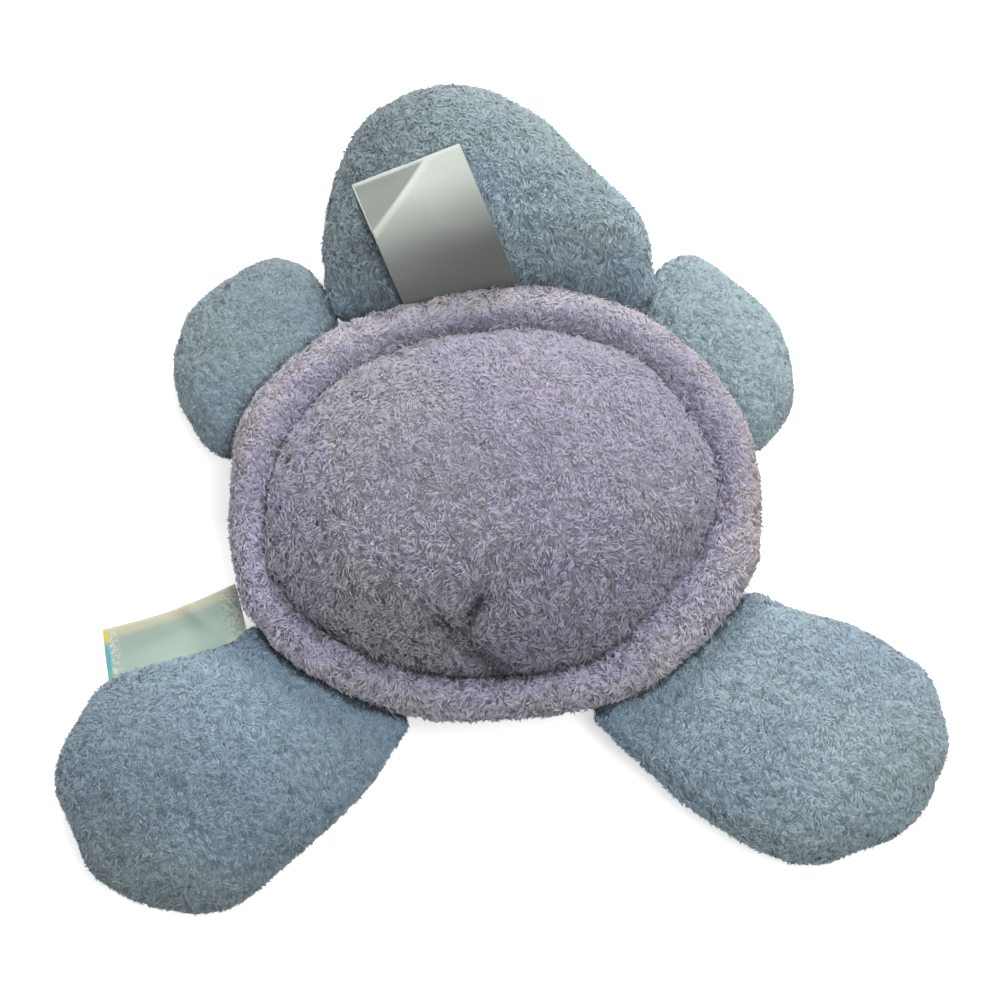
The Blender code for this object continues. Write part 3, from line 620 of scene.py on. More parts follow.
def twill(shader, flat):
    """Fine slanting ridges of a satin weave on a ribbon of the given flat size."""
    uv = shader.add("ShaderNodeUVMap", uv_map="ribbon")
    sized = shader.add("ShaderNodeVectorMath", operation="MULTIPLY")
    shader.feed(sized.inputs[0], uv.outputs[0])
    shader.feed(sized.inputs[1], (flat[0] / WEAVE_STEP, flat[1] / WEAVE_STEP, 0))
    return shader.texture("ShaderNodeTexWave", TWILL, sized.outputs[0], bands_direction="DIAGONAL")


def label_material():
    """Silvery satin with nothing printed on it, and painted light and shade: lighter towards its tip and
    darker past the crease.
    """
    shader = Shader("silver_satin", LABEL_FINISH)
    weave = twill(shader, LABEL_FLAT)
    across, along = shader.places("ribbon")
    reach = shader.math("DIVIDE", along, LABEL_TIP_PLACE)
    side = shader.math("DIVIDE", shader.math("SUBTRACT", reach, CREASE_SIDE_SHARE), 1 - CREASE_SIDE_SHARE)
    past = shader.math("SUBTRACT", side, shader.math("DIVIDE", across, CREASE_TIP_SHARE))
    crease = shader.math("MULTIPLY_ADD", past, 1 / 2, 1 / 2)
    # Painted light and shade over the silver weave: shade across, lighter to the tip, a highlight on the
    # crease, shade past it, light on the fold and lower leaf
    light = shader.shades(across, PAINTED_LABEL_SHADE)
    for value, stops, level in ((reach, PAINTED_LABEL_RISE, PAINTED_LABEL_TIP_LIGHT), (crease, PAINTED_LABEL_HIGHLIGHT, 1),
                                (crease, PAINTED_LABEL_CORNER_SHADE, PAINTED_LABEL_CORNER_LIGHT), (reach, PAINTED_LABEL_FOLD_LIGHT, 1)):
        light = shader.blend("MIX", light, shaded(WHITE, level), shader.shades(value, stops))
    shader.colour(shader.blend("MULTIPLY", shader.shades(weave, LABEL_WEAVE, SILVER), light))
    shader.bump(weave, *LABEL_BUMP)
    return shader.material


def tag_material():
    """Mint satin that turns straw yellow at its fold and teal at one end, as a shot silk does, with painted
    light along it.
    """
    shader = Shader("mint_satin", TAG_FINISH)
    across, along = shader.places("ribbon")
    weave = twill(shader, TAG_FLAT)
    cloth = shader.shades(weave, TAG_WEAVE, MINT)
    # Painted light: lighter at the root than towards the fold
    cloth = shader.blend("MULTIPLY", cloth, shader.shades(along, PAINTED_TAG_LIGHT))
    cloth = shader.blend("MIX", cloth, STRAW, shader.shades(along, TAG_FOLD))
    specks = shader.shades(shader.texture("ShaderNodeTexNoise", SPECKS), TAG_SPECKS)
    stitched = shader.blend("MULTIPLY", shader.shades(across, TAG_ENDS), specks)
    cloth = shader.blend("MIX", cloth, TAG_THREAD, stitched)
    glint = shader.ramp(along, TAG_GLINT)
    shader.colour(shader.blend("MIX", cloth, glint, shader.shades(across, TAG_STRIP)))
    shader.bump(weave, *TAG_BUMP)
    return shader.material


def thread_material(name, hue, sheen):
    """Rows of twisted thread."""
    shader = Shader(name, {"Roughness": THREAD_ROUGHNESS, "Sheen Weight": sheen})
    rows = shader.texture("ShaderNodeTexWave", THREAD_ROWS)
    shader.colour(shader.shades(rows, THREAD_LIGHT, hue))
    shader.bump(rows, *THREAD_BUMP)
    return shader.material


def swell(piece):
    """Fills the form under pressure as a simulated cloth, which no point leaves by more than the cap."""
    start = vectors_of(piece.data)
    cloth = piece.modifiers.new("Cloth", "CLOTH")
    cloth.settings.mass = CLOTH_MASS
    cloth.settings.use_pressure = True
    cloth.settings.uniform_pressure_force = CLOTH_PRESSURE
    cloth.settings.effector_weights.gravity = 0
    cloth.point_cache.frame_start = 1
    cloth.point_cache.frame_end = CLOTH_FRAMES
    for number in range(1, CLOTH_FRAMES + 1):
        bpy.context.scene.frame_set(number)
    settle(piece)
    moved = vectors_of(piece.data) - start
    size = np.linalg.norm(moved, axis=1, keepdims=True)
    set_points(piece.data, start + moved * np.minimum(1, SWELL_CAP / np.maximum(size, TINY)))
    bpy.context.scene.frame_set(1)


def cut_at_seam(piece, side):
    """Cuts a form at the middle of the rim's height and closes it: side 1 keeps its top, -1 its underside."""
    bm = bmesh.new()
    bm.from_mesh(piece.data)
    geometry = list(bm.verts) + list(bm.edges) + list(bm.faces)
    cut = bmesh.ops.bisect_plane(
        bm, geom=geometry, plane_co=(0, 0, SEAM_HEIGHT), plane_no=(0, 0, -side), clear_outer=True)
    edges = [item for item in cut["geom_cut"] if isinstance(item, bmesh.types.BMEdge)]
    bmesh.ops.edgenet_fill(bm, edges=edges)
    bmesh.ops.recalc_face_normals(bm, faces=bm.faces)
    bm.to_mesh(piece.data)
    bm.free()


def stuffed_form(name, nodes, puff, side=None):
    """A smooth closed form, larger than its CAD solids by the puff, and cut at the rim if it has a side."""
    bm = bmesh.new()
    for node in nodes:
        bm.from_mesh(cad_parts[node].data)
    bmesh.ops.remove_doubles(bm, verts=bm.verts, dist=WELD_DISTANCE)
    piece = mesh_object(name, bm)
    remesh = piece.modifiers.new("Remesh", "REMESH")
    remesh.mode = "VOXEL"
    remesh.voxel_size = FORM_VOXEL
    relax = piece.modifiers.new("Smooth", "SMOOTH")
    relax.factor = SMOOTHING_FACTOR
    relax.iterations = FORM_SMOOTHING
    settle(piece)
    swell(piece)
    finer = piece.modifiers.new("Subdivision", "SUBSURF")
    finer.levels = 1
    settle(piece)
    points = vectors_of(piece.data)
    normals = vectors_of(piece.data, "normal")
    pixels = pixels_of(points)
    lumps = wave_field(points, LUMP_SIZE, len(name))[:, None] * LUMP_HEIGHT
    points += normals * (puff + lumps)
    for pixel, distance, reach in OUTLINE_PUSHES.get(name, ()):
        share = bell(np.linalg.norm(pixels - pixel, axis=1), reach)
        points[:, :2] += normals[:, :2] * distance * share[:, None]
    points[:, 2] = np.maximum(points[:, 2], 0)
    set_points(piece.data, points)
    if side:
        cut_at_seam(piece, side)
    piece.data.name = name
    piece.data.shade_smooth()
    return piece


def rim_value(points):
    """How far out a point lies from the shell's middle: 1 on the outline of the rim's solid."""
    across = np.abs(points[:, 0] / RIM_HIGH.x)
    along = np.abs(points[:, 1] / RIM_HIGH.y)
    return (across ** OUTLINE_POWER + along ** OUTLINE_POWER) ** (1 / OUTLINE_POWER)


def headward(points):
    """1 at the dome's head end and -1 at its foot end."""
    return points[:, 1] / DOME_HIGH.y


def shell_polar(points):
    """The turn in degrees and the share of an oval at which the photograph shows points round the shell."""
    pixels = pixels_of(points)
    across = (pixels[:, 0] - SHELL_MIDDLE[0]) / SHELL_HALF[0]
    up = (SHELL_MIDDLE[1] - pixels[:, 1]) / SHELL_HALF[1]
    return np.degrees(np.arctan2(up, across)), np.hypot(across, up)


def round_shell(values, points):
    """The value of a table round the shell at each point's turn."""
    return np.interp(shell_polar(points)[0], np.arange(len(values)) * TURN_STEP, values, period=360)


def channel_value(points):
    """1 in the channel between the dome and the rim."""
    return shell_polar(points)[1] / round_shell(CHANNEL_SHARES, points)


def edge_value(points):
    """1 at the edge of the rim, as the photograph shows it."""
    return shell_polar(points)[1] / round_shell(EDGE_SHARES, points)


def channel_share(points):
    """1 in the channel and 0 a few millimetres from it."""
    return bell(channel_value(points) - 1, CHANNEL_SPREAD) * (points[:, 2] > SEAM_HEIGHT)


def line_distance(points, start, end):
    """Each point's distance to the stretch from start to end."""
    start = np.array(start)
    along = end - start
    share = np.clip((points - start) @ along / (along @ along), 0, 1)
    return np.linalg.norm(points - start - share[:, None] * along, axis=1)


def fold_share(points, spread):
    """1 in the folds of the shell's pucker and 0 away from them, where the spread is in pixels."""
    away = [line_distance(pixels_of(points), *fold) for fold in PUCKER_FOLDS]
    return bell(np.min(away, axis=0), spread) * (points[:, 2] > SEAM_HEIGHT)


def shape_shell(dome, *others):
    """Moves the channel to where the photograph shows it, and adds the crown and the pucker."""
    inner = DOME_HIGH.x / RIM_HIGH.x
    for form in (dome, *others):
        points = vectors_of(form.data)
        points[:, 1] += CHANNEL_SHIFT * step(rim_value(points), 1, inner) * step(points[:, 2], 0, SEAM_HEIGHT)
        turns, shares = shell_polar(points)
        move = round_shell(CHANNEL_MOVES, points)
        channel = round_shell(CHANNEL_SHARES, points) - move
        outward = np.clip((shares - channel) / (1 - channel), 0, 1)
        move = mix(move, round_shell(EDGE_MOVES, points), outward)
        move *= np.minimum(shares / channel, 1) ** MOVE_POWER
        points[:, 0] += move * SHELL_HALF[0] * METRES_PER_PIXEL * np.cos(np.radians(turns))
        points[:, 1] += move * SHELL_HALF[1] * METRES_PER_PIXEL * np.sin(np.radians(turns))
        set_points(form.data, points)
    points = vectors_of(dome.data)
    lift = CROWN_LIFT * bell(np.linalg.norm(pixels_of(points) - CROWN_NUB, axis=1), CROWN_REACH)
    inside = step(channel_value(points), 1, 1 - 2 * CHANNEL_SPREAD)
    lift -= FOLD_DROP * fold_share(points, FOLD_REACH) * inside
    set_points(dome.data, points + vectors_of(dome.data, "normal") * lift[:, None])


class Skin:
    """A form's surface as arrays: its triangles' corners, their normals and areas."""

    def __init__(self, piece):
        mesh = piece.data
        mesh.calc_loop_triangles()
        triangles = np.empty(len(mesh.loop_triangles) * 3, np.int32)
        mesh.loop_triangles.foreach_get("vertices", triangles)
        triangles = triangles.reshape(-1, 3)
        self.corners = vectors_of(mesh)[triangles]
        self.normals = vectors_of(mesh, "normal")[triangles]
        sides = np.cross(self.corners[:, 1] - self.corners[:, 0], self.corners[:, 2] - self.corners[:, 0])
        self.areas = np.linalg.norm(sides, axis=1) / 2
        self.middles = self.corners.mean(axis=1)
        self.facing = unit(self.normals.mean(axis=1))

    def sample(self, count, weights, random):
        """Random points on the surface and their normals."""
        total = np.cumsum(self.areas * weights)
        picked = np.searchsorted(total, random.uniform(0, total[-1], count))
        picked = np.minimum(picked, len(total) - 1)
        first = np.sqrt(random.uniform(0, 1, count))
        second = random.uniform(0, 1, count)
        shares = np.stack([1 - first, first * (1 - second), first * second], axis=1)[:, :, None]
        points = (self.corners[picked] * shares).sum(axis=1)
        normals = unit((self.normals[picked] * shares).sum(axis=1))
        return points, normals


# How one form's pile grows. The last five are functions of places on the form, and its shade is painted light
# and shade
Pile = namedtuple("Pile", "body slot material weight length shade hue relief")


class Tufts:
    """One coat's tufts on a form: their roots, and the clumps in which they gather."""

    def __init__(self, form, pile, coat, count, seed):
        self.pile = pile
        self.coat = coat
        self.count = int(count * coat.density)
        self.random = np.random.default_rng(seed)
        skin = Skin(form)
        weights = pile.weight(skin.middles, skin.facing)
        self.roots, self.normals = skin.sample(self.count, weights, self.random)
        self.clumps = int((skin.areas * np.minimum(weights, 1)).sum() / CLUMP_SIZE ** 2) + 1
        centres = skin.sample(self.clumps, weights, self.random)[0]
        tree = KDTree(self.clumps)
        for index, centre in enumerate(centres):
            tree.insert(centre, index)
        tree.balance()
        self.clump = np.array([tree.find(root)[1] for root in self.roots])
        self.from_clump = (self.roots - centres[self.clump]) / CLUMP_SIZE

    def vary(self, clump_spread, own_spread, parts=1):
        """Random values, partly the same for all tufts of a clump."""
        shared = self.random.normal(0, clump_spread, (self.clumps, parts))[self.clump]
        return shared + self.random.normal(0, own_spread, (self.count, parts))

    def headings(self):
        """The direction along the skin in which each tuft lies over."""
        heading = LIE_DIRECTION
        for size, seed, share in SWIRLS:
            heading = heading + vector_field(self.roots, size, seed) * share
        heading += self.vary(CLUMP_SHARE, STRAND_SHARE, 3)
        return unit(heading - self.normals * (heading * self.normals).sum(axis=1, keepdims=True))

    def shapes(self):
        """Each tuft's points, ring by ring up to its tip, and the directions for which they are shaded."""
        heading = self.headings()
        sideways = np.cross(self.normals, heading)
        scale = self.coat.size * self.pile.length(self.roots)[:, None]
        scale = scale * self.random.uniform(*LENGTH_RANGE, (self.count, 1))
        stand = np.clip(self.random.normal(1, STAND_SPREAD, (self.count, 1)), *STAND_RANGE)
        up = self.normals * PILE_HEIGHT * stand * scale
        over = heading * PILE_REACH / stand * scale
        bend = sideways * self.vary(BEND_SPREAD, BEND_SPREAD) * PILE_REACH * scale
        upright = np.cross(unit(up + over), sideways)
        start = self.roots - self.normals * ROOT_DEPTH
        gather = self.from_clump * CLUMP_SIZE * GATHER_SHARE
        lean = self.random.normal(0, LEAN_SHARE, (self.clumps, 3))[self.clump]
        soft = self.normals + self.from_clump * CLUMP_ROUND + lean
        points = []
        facing = []
        for ring in range(self.coat.rings):
            along = ring / self.coat.rings
            turn = along * math.pi / 2
            middle = start + up * math.sin(turn) + over * (1 - math.cos(turn)) + bend * math.sin(turn * 2)
            width = TUFT_WIDTH * self.coat.breadth * scale * (1 - TAPER * along)
            for angle in TUFT_SIDES:
                aside = sideways * math.cos(angle) + upright * math.sin(angle)
                points.append(middle - gather * along + aside * width / 2)
                facing.append(soft + aside * ROUND_SHARE)
        points.append(start + up + over - gather)
        facing.append(soft + heading * LEAN_SHARE)
        points = np.stack(points, axis=1)
        points[:, :, 2] = np.maximum(points[:, :, 2], 0)
        return points, unit(np.stack(facing, axis=1))

    def shades(self):
        """Each tuft's brightness as a share of the brightest, with painted shade between the clumps."""
        shade = self.coat.brightness + self.vary(CLUMP_CONTRAST, STRAND_CONTRAST)[:, 0]
        # Painted shade: darker between the clumps
        shade *= step(np.linalg.norm(self.from_clump, axis=1), *PAINTED_CLUMP_SHADE)
        shade = COAT_MIDDLE + (shade - COAT_MIDDLE) * self.pile.relief(self.roots)
        shade += wave_field(self.roots, **SHADE_PATCHES) * PATCH_CONTRAST
        # The form's painted light and shade
        shade = (SHADE_FLOOR + np.clip(shade, *SHADE_RANGE) * SHADE_SLOPE) * self.pile.shade(self.roots)
        return np.clip(shade / SHADE_TOP, *SHADE_LIMITS)

    def bands(self):
        """The number of each tuft's hue."""
        return np.clip(self.pile.hue(self.roots, self.random), 0, HUE_BANDS - 1).astype(int)


def place_piece(piece, body, slot, *nodes):
    """Sets a piece on its body, in place of the CAD solids named. The slot is not used."""
    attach(piece, body)
    if nodes:
        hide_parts(*nodes)


def grow_pile(name, form, pile, coat, count, seed):
    """A coat of pile: three-sided spikes in one mesh, shaded as a soft surface."""
    tufts = Tufts(form, pile, coat, count, seed)
    points, facing = tufts.shapes()
    shade = tufts.shades()
    band = tufts.bands()
    count, per_tuft = points.shape[:2]
    sides = len(TUFT_SIDES)
    tip = per_tuft - 1
    corners = []
    for side in range(sides):
        after = (side + 1) % sides
        for low in range(0, tip - sides, sides):
            high = low + sides
            corners += [low + side, low + after, high + after, low + side, high + after, high + side]
        corners += [tip - sides + side, tip - sides + after, tip]
    loops = (np.arange(count)[:, None] * per_tuft + np.array(corners)).ravel()
    faces = len(loops) // 3

    mesh = bpy.data.meshes.new(name)
    mesh.vertices.add(count * per_tuft)
    mesh.vertices.foreach_set("co", points.astype(np.float32).ravel())
    mesh.loops.add(len(loops))
    mesh.loops.foreach_set("vertex_index", loops.astype(np.int32))
    mesh.polygons.add(faces)
    mesh.polygons.foreach_set("loop_start", np.arange(0, faces * 3, 3, dtype=np.int32))
    mesh.polygons.foreach_set("loop_total", np.full(faces, 3, np.int32))
    mesh.update(calc_edges=True)

    across = np.array([0, -TUFT_SPAN, TUFT_SPAN] * coat.rings + [0])
    along = np.append(np.repeat(np.arange(coat.rings) / coat.rings, sides), 1)
    place_x = mix(SHADE_MARGIN, 1 - SHADE_MARGIN, shade[:, None]) + across
    place_y = (band[:, None] + mix(HUE_MARGIN, 1 - HUE_MARGIN, along)) / HUE_BANDS
    places = np.stack([place_x, place_y], axis=2).reshape(-1, 2)[loops]
    layer = mesh.uv_layers.new(name="OFBake")
    layer.data.foreach_set("uv", places.astype(np.float32).ravel())
    mesh.shade_smooth()
    mesh.normals_split_custom_set_from_vertices(facing.reshape(-1, 3).astype(np.float32))
    mesh.materials.append(pile.material)
    place_piece(new_object(name, mesh), pile.body, pile.slot)


def grow_coats(name, form, pile, count, seed):
    for number, coat in enumerate(COATS):
        grow_pile("%s_%d" % (name, number + 1), form, pile, coat, count, seed + number)


def upward(places, facing):
    """More tufts where the form faces up or sideways than underneath."""
    return step(facing[:, 2], *UNDERSIDE_TUFTS)


def outside_shell(places, facing):
    """Hardly any tufts on the roots that lie under the shell."""
    return upward(places, facing) * step(rim_value(places), *HIDDEN_TUFTS)


def all_alike(value):
    return lambda points: np.full(len(points), value)


def beyond(pixels, start, end):
    """How many pixels to the left of the line from start to end each pixel lies."""
    across, down = unit(np.subtract(end, start))
    away = pixels - np.array(start)
    return away[..., 0] * down - away[..., 1] * across


def head_length(points):
    """The pile under the care label is pressed flat."""
    pixels = pixels_of(points)
    edges = zip(LABEL_CORNERS, LABEL_CORNERS[1:] + LABEL_CORNERS[:1])
    inside = np.min([-beyond(pixels, end, start) for start, end in edges], axis=0)
    return step(inside, *LABEL_PRESS)


def seam_painted_shade(points, depth, reach):
    """Paints shade on a limb or the head right beside the rim, where the rim shades it."""
    return step(edge_value(points), SEAM_PLACE + reach, SEAM_PLACE, 1, 1 - depth)


def head_painted_shade(points):
    """Painted shade: darker beside the rim, at the top and on the left side."""
    pixels = pixels_of(points)
    light = step(pixels[:, 0], *PAINTED_HEAD_LEFT_SHADE) * step(pixels[:, 1], *PAINTED_HEAD_TOP_SHADE)
    return seam_painted_shade(points, *HEAD_SEAM_SHADE) * light


def head_relief(points):
    """Strands stand out more towards the neck and on the left side."""
    return step(((pixels_of(points) - RELIEF_CORNER) / RELIEF_REACHES).sum(axis=1), *HEAD_RELIEF)


def limb_painted_light(look):
    """Painted light and shade: darker beside the rim, lighter or darker for each limb, and for some limbs
    lighter near the rim than at the tip.
    """
    def shade(points):
        # Painted light: lighter near the rim than at the tip
        along = step(edge_value(points), *LIMB_SPAN, 1 + look.fall, 1 - look.fall)
        return seam_painted_shade(points, *look.seam) * look.gain * along
    return shade


def blues(middle):
    """The blues in patches around a middle one, bluer beside the rim and greener far from it."""
    def hue(points, random):
        away = edge_value(points)
        patches = wave_field(points, **HUE_PATCHES) * BLUE_PATCHES
        change = step(away, *NEAR_HUE) + step(away, *FAR_HUE)
        return middle + change + patches + random.normal(0, HUE_SPREAD, len(points))
    return hue


def lilacs(points, random):
    """The lilacs in patches, violet in the channel and at the crown, grey and tan on the outer rim."""
    count = len(points)
    patches = wave_field(points, **HUE_PATCHES) * LILAC_PATCHES
    band = np.clip(LILAC_MIDDLE + patches + random.normal(0, HUE_SPREAD, count), 0, LAST_LILAC)
    value = channel_value(points)
    outer = step(value, *OUTER_RIM)
    chance = random.uniform(0, 1, count)
    band = np.where(chance < outer * OUTER_SHARE, GREY_LILAC, band)
    band = np.where(chance < outer * step(headward(points), *TAN_TUFTS), TAN, band)
    violet = np.maximum(bell(value - VIOLET_PLACE, VIOLET_SPREAD), CROWN_SHARE * (value < CROWN_END))
    band = np.where(random.uniform(0, 1, count) < violet, VIOLET, band)
    tan = np.exp(-(((pixels_of(points) - TAN_SPOT) / TAN_REACHES) ** 2).sum(axis=1))
    return np.where(random.uniform(0, 1, count) < tan * TAN_SHARE, TAN, band)


def painted_line_shade(points):
    """How dark the painted shade of the line in the channel is: nearly 1 at the feet."""
    return channel_share(points) * round_shell(LINE_DEPTHS, points)


def shell_length(points):
    """Short in the pucker and the dark line, long where the pile closes over the channel and at the feet."""
    depth = round_shell(LINE_DEPTHS, points)
    change = CHANNEL_FILL * (1 - depth) - LINE_PRESS * depth
    length = step(headward(points), *DOME_LENGTH) * (1 - FOLD_PRESS * fold_share(points, FOLD_REACH))
    return length * (1 + change * channel_share(points))


def dome_painted_light(points):
    """Painted light and shade: darker in the channel and the pucker and at the feet, and lighter on the left
    side.
    """
    light = step(headward(points), *PAINTED_DOME_LIGHT) * step(points[:, 0] / DOME_HIGH.x, *PAINTED_DOME_SIDE_LIGHT)
    return light * (1 - np.maximum(painted_line_shade(points), fold_share(points, FOLD_SPREAD) * PAINTED_FOLD_SHADE))


def rim_painted_light(points):
    """Painted shade on the slope towards the dome, deepest at the head, where painted light makes the crest
    lightest.
    """
    value = channel_value(points)
    depth = round_shell(PAINTED_SLOPE_SHADES, points)
    slope = bell(value - SLOPE_PLACE, SLOPE_SPREAD) * (points[:, 2] > SEAM_HEIGHT) * depth
    return (1 + depth * step(value, *PAINTED_CREST_LIGHT)) * (1 - np.maximum(slope, painted_line_shade(points)))


def shell_relief(points):
    """Strands stand out more towards the feet, where the rise in contrast is painted light and shade of
    grazing light.
    """
    return step(headward(points), *SHELL_RELIEF)


def limb_nodes(limb):
    return tuple(limb + ending for ending in ("_top_cover", "_bottom_cover", "_stuffing"))


def build_forms():
    """The stuffed forms by their parts' names."""
    forms = {"head": stuffed_form("head_plush", HEAD_NODES, HEAD_PUFF)}
    for limb in LIMB_PILES:
        forms[limb] = stuffed_form(limb + "_plush", limb_nodes(limb), LIMB_PUFF)
    forms["dome"] = stuffed_form("shell_dome_plush", CUSHION_NODES, SHELL_PUFF, side=1)
    forms["belly"] = stuffed_form("belly_plush", CUSHION_NODES, SHELL_PUFF, side=-1)
    forms["rim"] = stuffed_form("shell_rim_plush", RIM_NODES, SHELL_PUFF)
    return forms


def thread_copy(name, node, body, slot, material):
    """A copy of a CAD thread that stands for it, to be moved with the form it is sewn to."""
    thread = new_object(name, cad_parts[node].data.copy())
    place_piece(thread, body, slot, node)
    set_material(thread, material)
    return thread


def set_material(piece, material):
    piece.data.materials.clear()
    piece.data.materials.append(material)


def seat_thread(thread, form, lift):
    """Lays a thread that runs along X on the skin of a stuffed form, or above it by the lift."""
    tree = surface_tree(form)
    points = vectors_of(thread.data)
    moves = []
    for point in points:
        place, normal = tree.find_nearest(Vector(point))[:2]
        moves.append(np.array(place + normal * lift) - point)
    terms = np.vander(points[:, 0] / np.abs(points[:, 0]).max(), SEAT_TERMS)
    fit = np.linalg.lstsq(terms, np.array(moves), rcond=None)[0]
    set_points(thread.data, points + terms @ fit)


def build_threads(forms):
    """The stitches and the mouth on their forms, and the eyes, whose CAD shapes stay."""
    dark = thread_material("dark_embroidery", THREAD_DARK, 0)
    lilac = thread_material("lilac_thread", THREAD_LILAC, THREAD_SHEEN)
    stitches = thread_copy("channel_stitches", "shell_channel_stitching", "shell", "lilac_thread", lilac)
    points = vectors_of(stitches.data)
    points[:, 2] -= STITCH_SINK
    set_points(stitches.data, points)
    shape_shell(forms["dome"], forms["belly"], forms["rim"], stitches)
    closing = thread_copy("closing_stitches", "closing_seam_stitching", "shell", "lilac_thread", lilac)
    seat_thread(closing, forms["dome"], 0)
    mouth = thread_copy("mouth_thread", "mouth_stitching", "head", "dark_embroidery_thread", dark)
    seat_thread(mouth, forms["head"], MOUTH_LIFT)
    for eye in ("left_eye", "right_eye"):
        set_material(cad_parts[eye], dark)


def carry(form, body, slot, backing, nodes):
    """Sets a form on its body, with its backing, in place of its CAD solids."""
    form.data.materials.append(backing)
    place_piece(form, body, slot, *nodes)


def carry_forms(forms):
    blue = backing_material("blue_backing", BLUE_HUES[1], BLUE_BACKING)
    lilac = backing_material("lilac_backing", LILAC_HUES[0], LILAC_BACKING)
    carry(forms["head"], "head", "blue_plush", blue, HEAD_NODES)
    for limb in LIMB_PILES:
        carry(forms[limb], limb, "blue_plush", blue, limb_nodes(limb))
    carry(forms["dome"], "shell", "lilac_plush", lilac, ("shell_dome_cover", "shell_stuffing"))
    carry(forms["belly"], "shell", "blue_plush", blue, ("belly_cover",))
    carry(forms["rim"], "shell", "lilac_rim_plush", lilac, RIM_NODES)


def grow_all(forms):
    """The pile of every form."""
    blue = pile_material("blue_pile", BLUE_HUES)
    lilac = pile_material("lilac_pile", LILAC_HUES)
    rim_lilac = pile_material("lilac_rim_pile", [shaded(hue, RIM_GAIN) for hue in LILAC_HUES])
    pile = Pile("head", "blue_plush", blue, outside_shell, head_length, head_painted_shade, blues(HEAD_HUE),
                head_relief)
    grow_coats("head_pile", forms["head"], pile, PIECE_TUFTS, HEAD_SEED)
    for limb, look in LIMB_PILES.items():
        pile = Pile(limb, "blue_plush", blue, outside_shell, all_alike(look.length), limb_painted_light(look),
                    blues(look.hue), all_alike(look.relief))
        grow_coats(limb + "_pile", forms[limb], pile, look.tufts, look.seed)
    pile = Pile("shell", "lilac_plush", lilac, upward, shell_length, dome_painted_light, lilacs, shell_relief)
    grow_coats("shell_dome_pile", forms["dome"], pile, PIECE_TUFTS, DOME_SEED)
    pile = Pile("shell", "lilac_rim_plush", rim_lilac, upward, shell_length, rim_painted_light, lilacs, shell_relief)
    grow_coats("shell_rim_pile", forms["rim"], pile, PIECE_TUFTS, RIM_SEED)
    plain = all_alike(1)
    pile = Pile("shell", "blue_plush", blue, upward, plain, plain, blues(BELLY_HUE), plain)
    grow_pile("belly_pile", forms["belly"], pile, UNDERCOAT, BELLY_TUFTS, BELLY_SEED)


def between(corners, across, along):
    """The pixel at a place in a four-sided field: root left, root right, tip right, tip left."""
    root_left, root_right, tip_right, tip_left = np.array(corners, float)
    return mix(mix(root_left, root_right, across), mix(tip_left, tip_right, across), along)


def folded_rows(leaf_points, rows, columns, bulge):
    """A ribbon's rows of points: its upper leaf, the fold at its end, and its lower leaf back to the root."""
    pairs = [[leaf_points(across, along) for across in columns] for along in rows]
    upper, lower = ([[pair[leaf] for pair in row] for row in pairs] for leaf in (0, 1))
    rows = list(upper)
    for number in range(1, FOLD_STEPS):
        angle = math.pi * number / FOLD_STEPS
        row = []
        for before, top, base in zip(upper[-2], upper[-1], lower[-1]):
            middle = (top + base) / 2
            out = (top - before).normalized()
            row.append(middle + (top - middle) * math.cos(angle) + out * bulge * math.sin(angle))
        rows.append(row)
    return rows + lower[::-1]


def ribbon_mesh(name, rows, material):
    """A thin closed ribbon through rows of points, with a UV map that runs across and along it."""
    bm = bmesh.new()
    layer = bm.loops.layers.uv.new("ribbon")
    verts = [[bm.verts.new(point) for point in row] for row in rows]
    last_row = len(rows) - 1
    last_column = len(rows[0]) - 1
    for row in range(last_row):
        for column in range(last_column):
            corners = ((row, column), (row, column + 1), (row + 1, column + 1), (row + 1, column))
            face = bm.faces.new([verts[r][c] for r, c in corners])
            for loop, (r, c) in zip(face.loops, corners):
                loop[layer].uv = (c / last_column, r / last_row)
    bm.normal_update()
    piece = mesh_object(name, bm)
    thick = piece.modifiers.new("Solidify", "SOLIDIFY")
    thick.thickness = RIBBON_THICKNESS
    thick.offset = 0
    settle(piece)
    piece.data.name = name
    piece.data.shade_smooth()
    piece.data.set_sharp_from_angle(angle=EDGE_ANGLE)
    piece.data.materials.append(material)
    return piece


def label_terms(across, along):
    """Terms of the smooth surface that follows the head under the label."""
    return 1, across, along, across * along, along ** 2


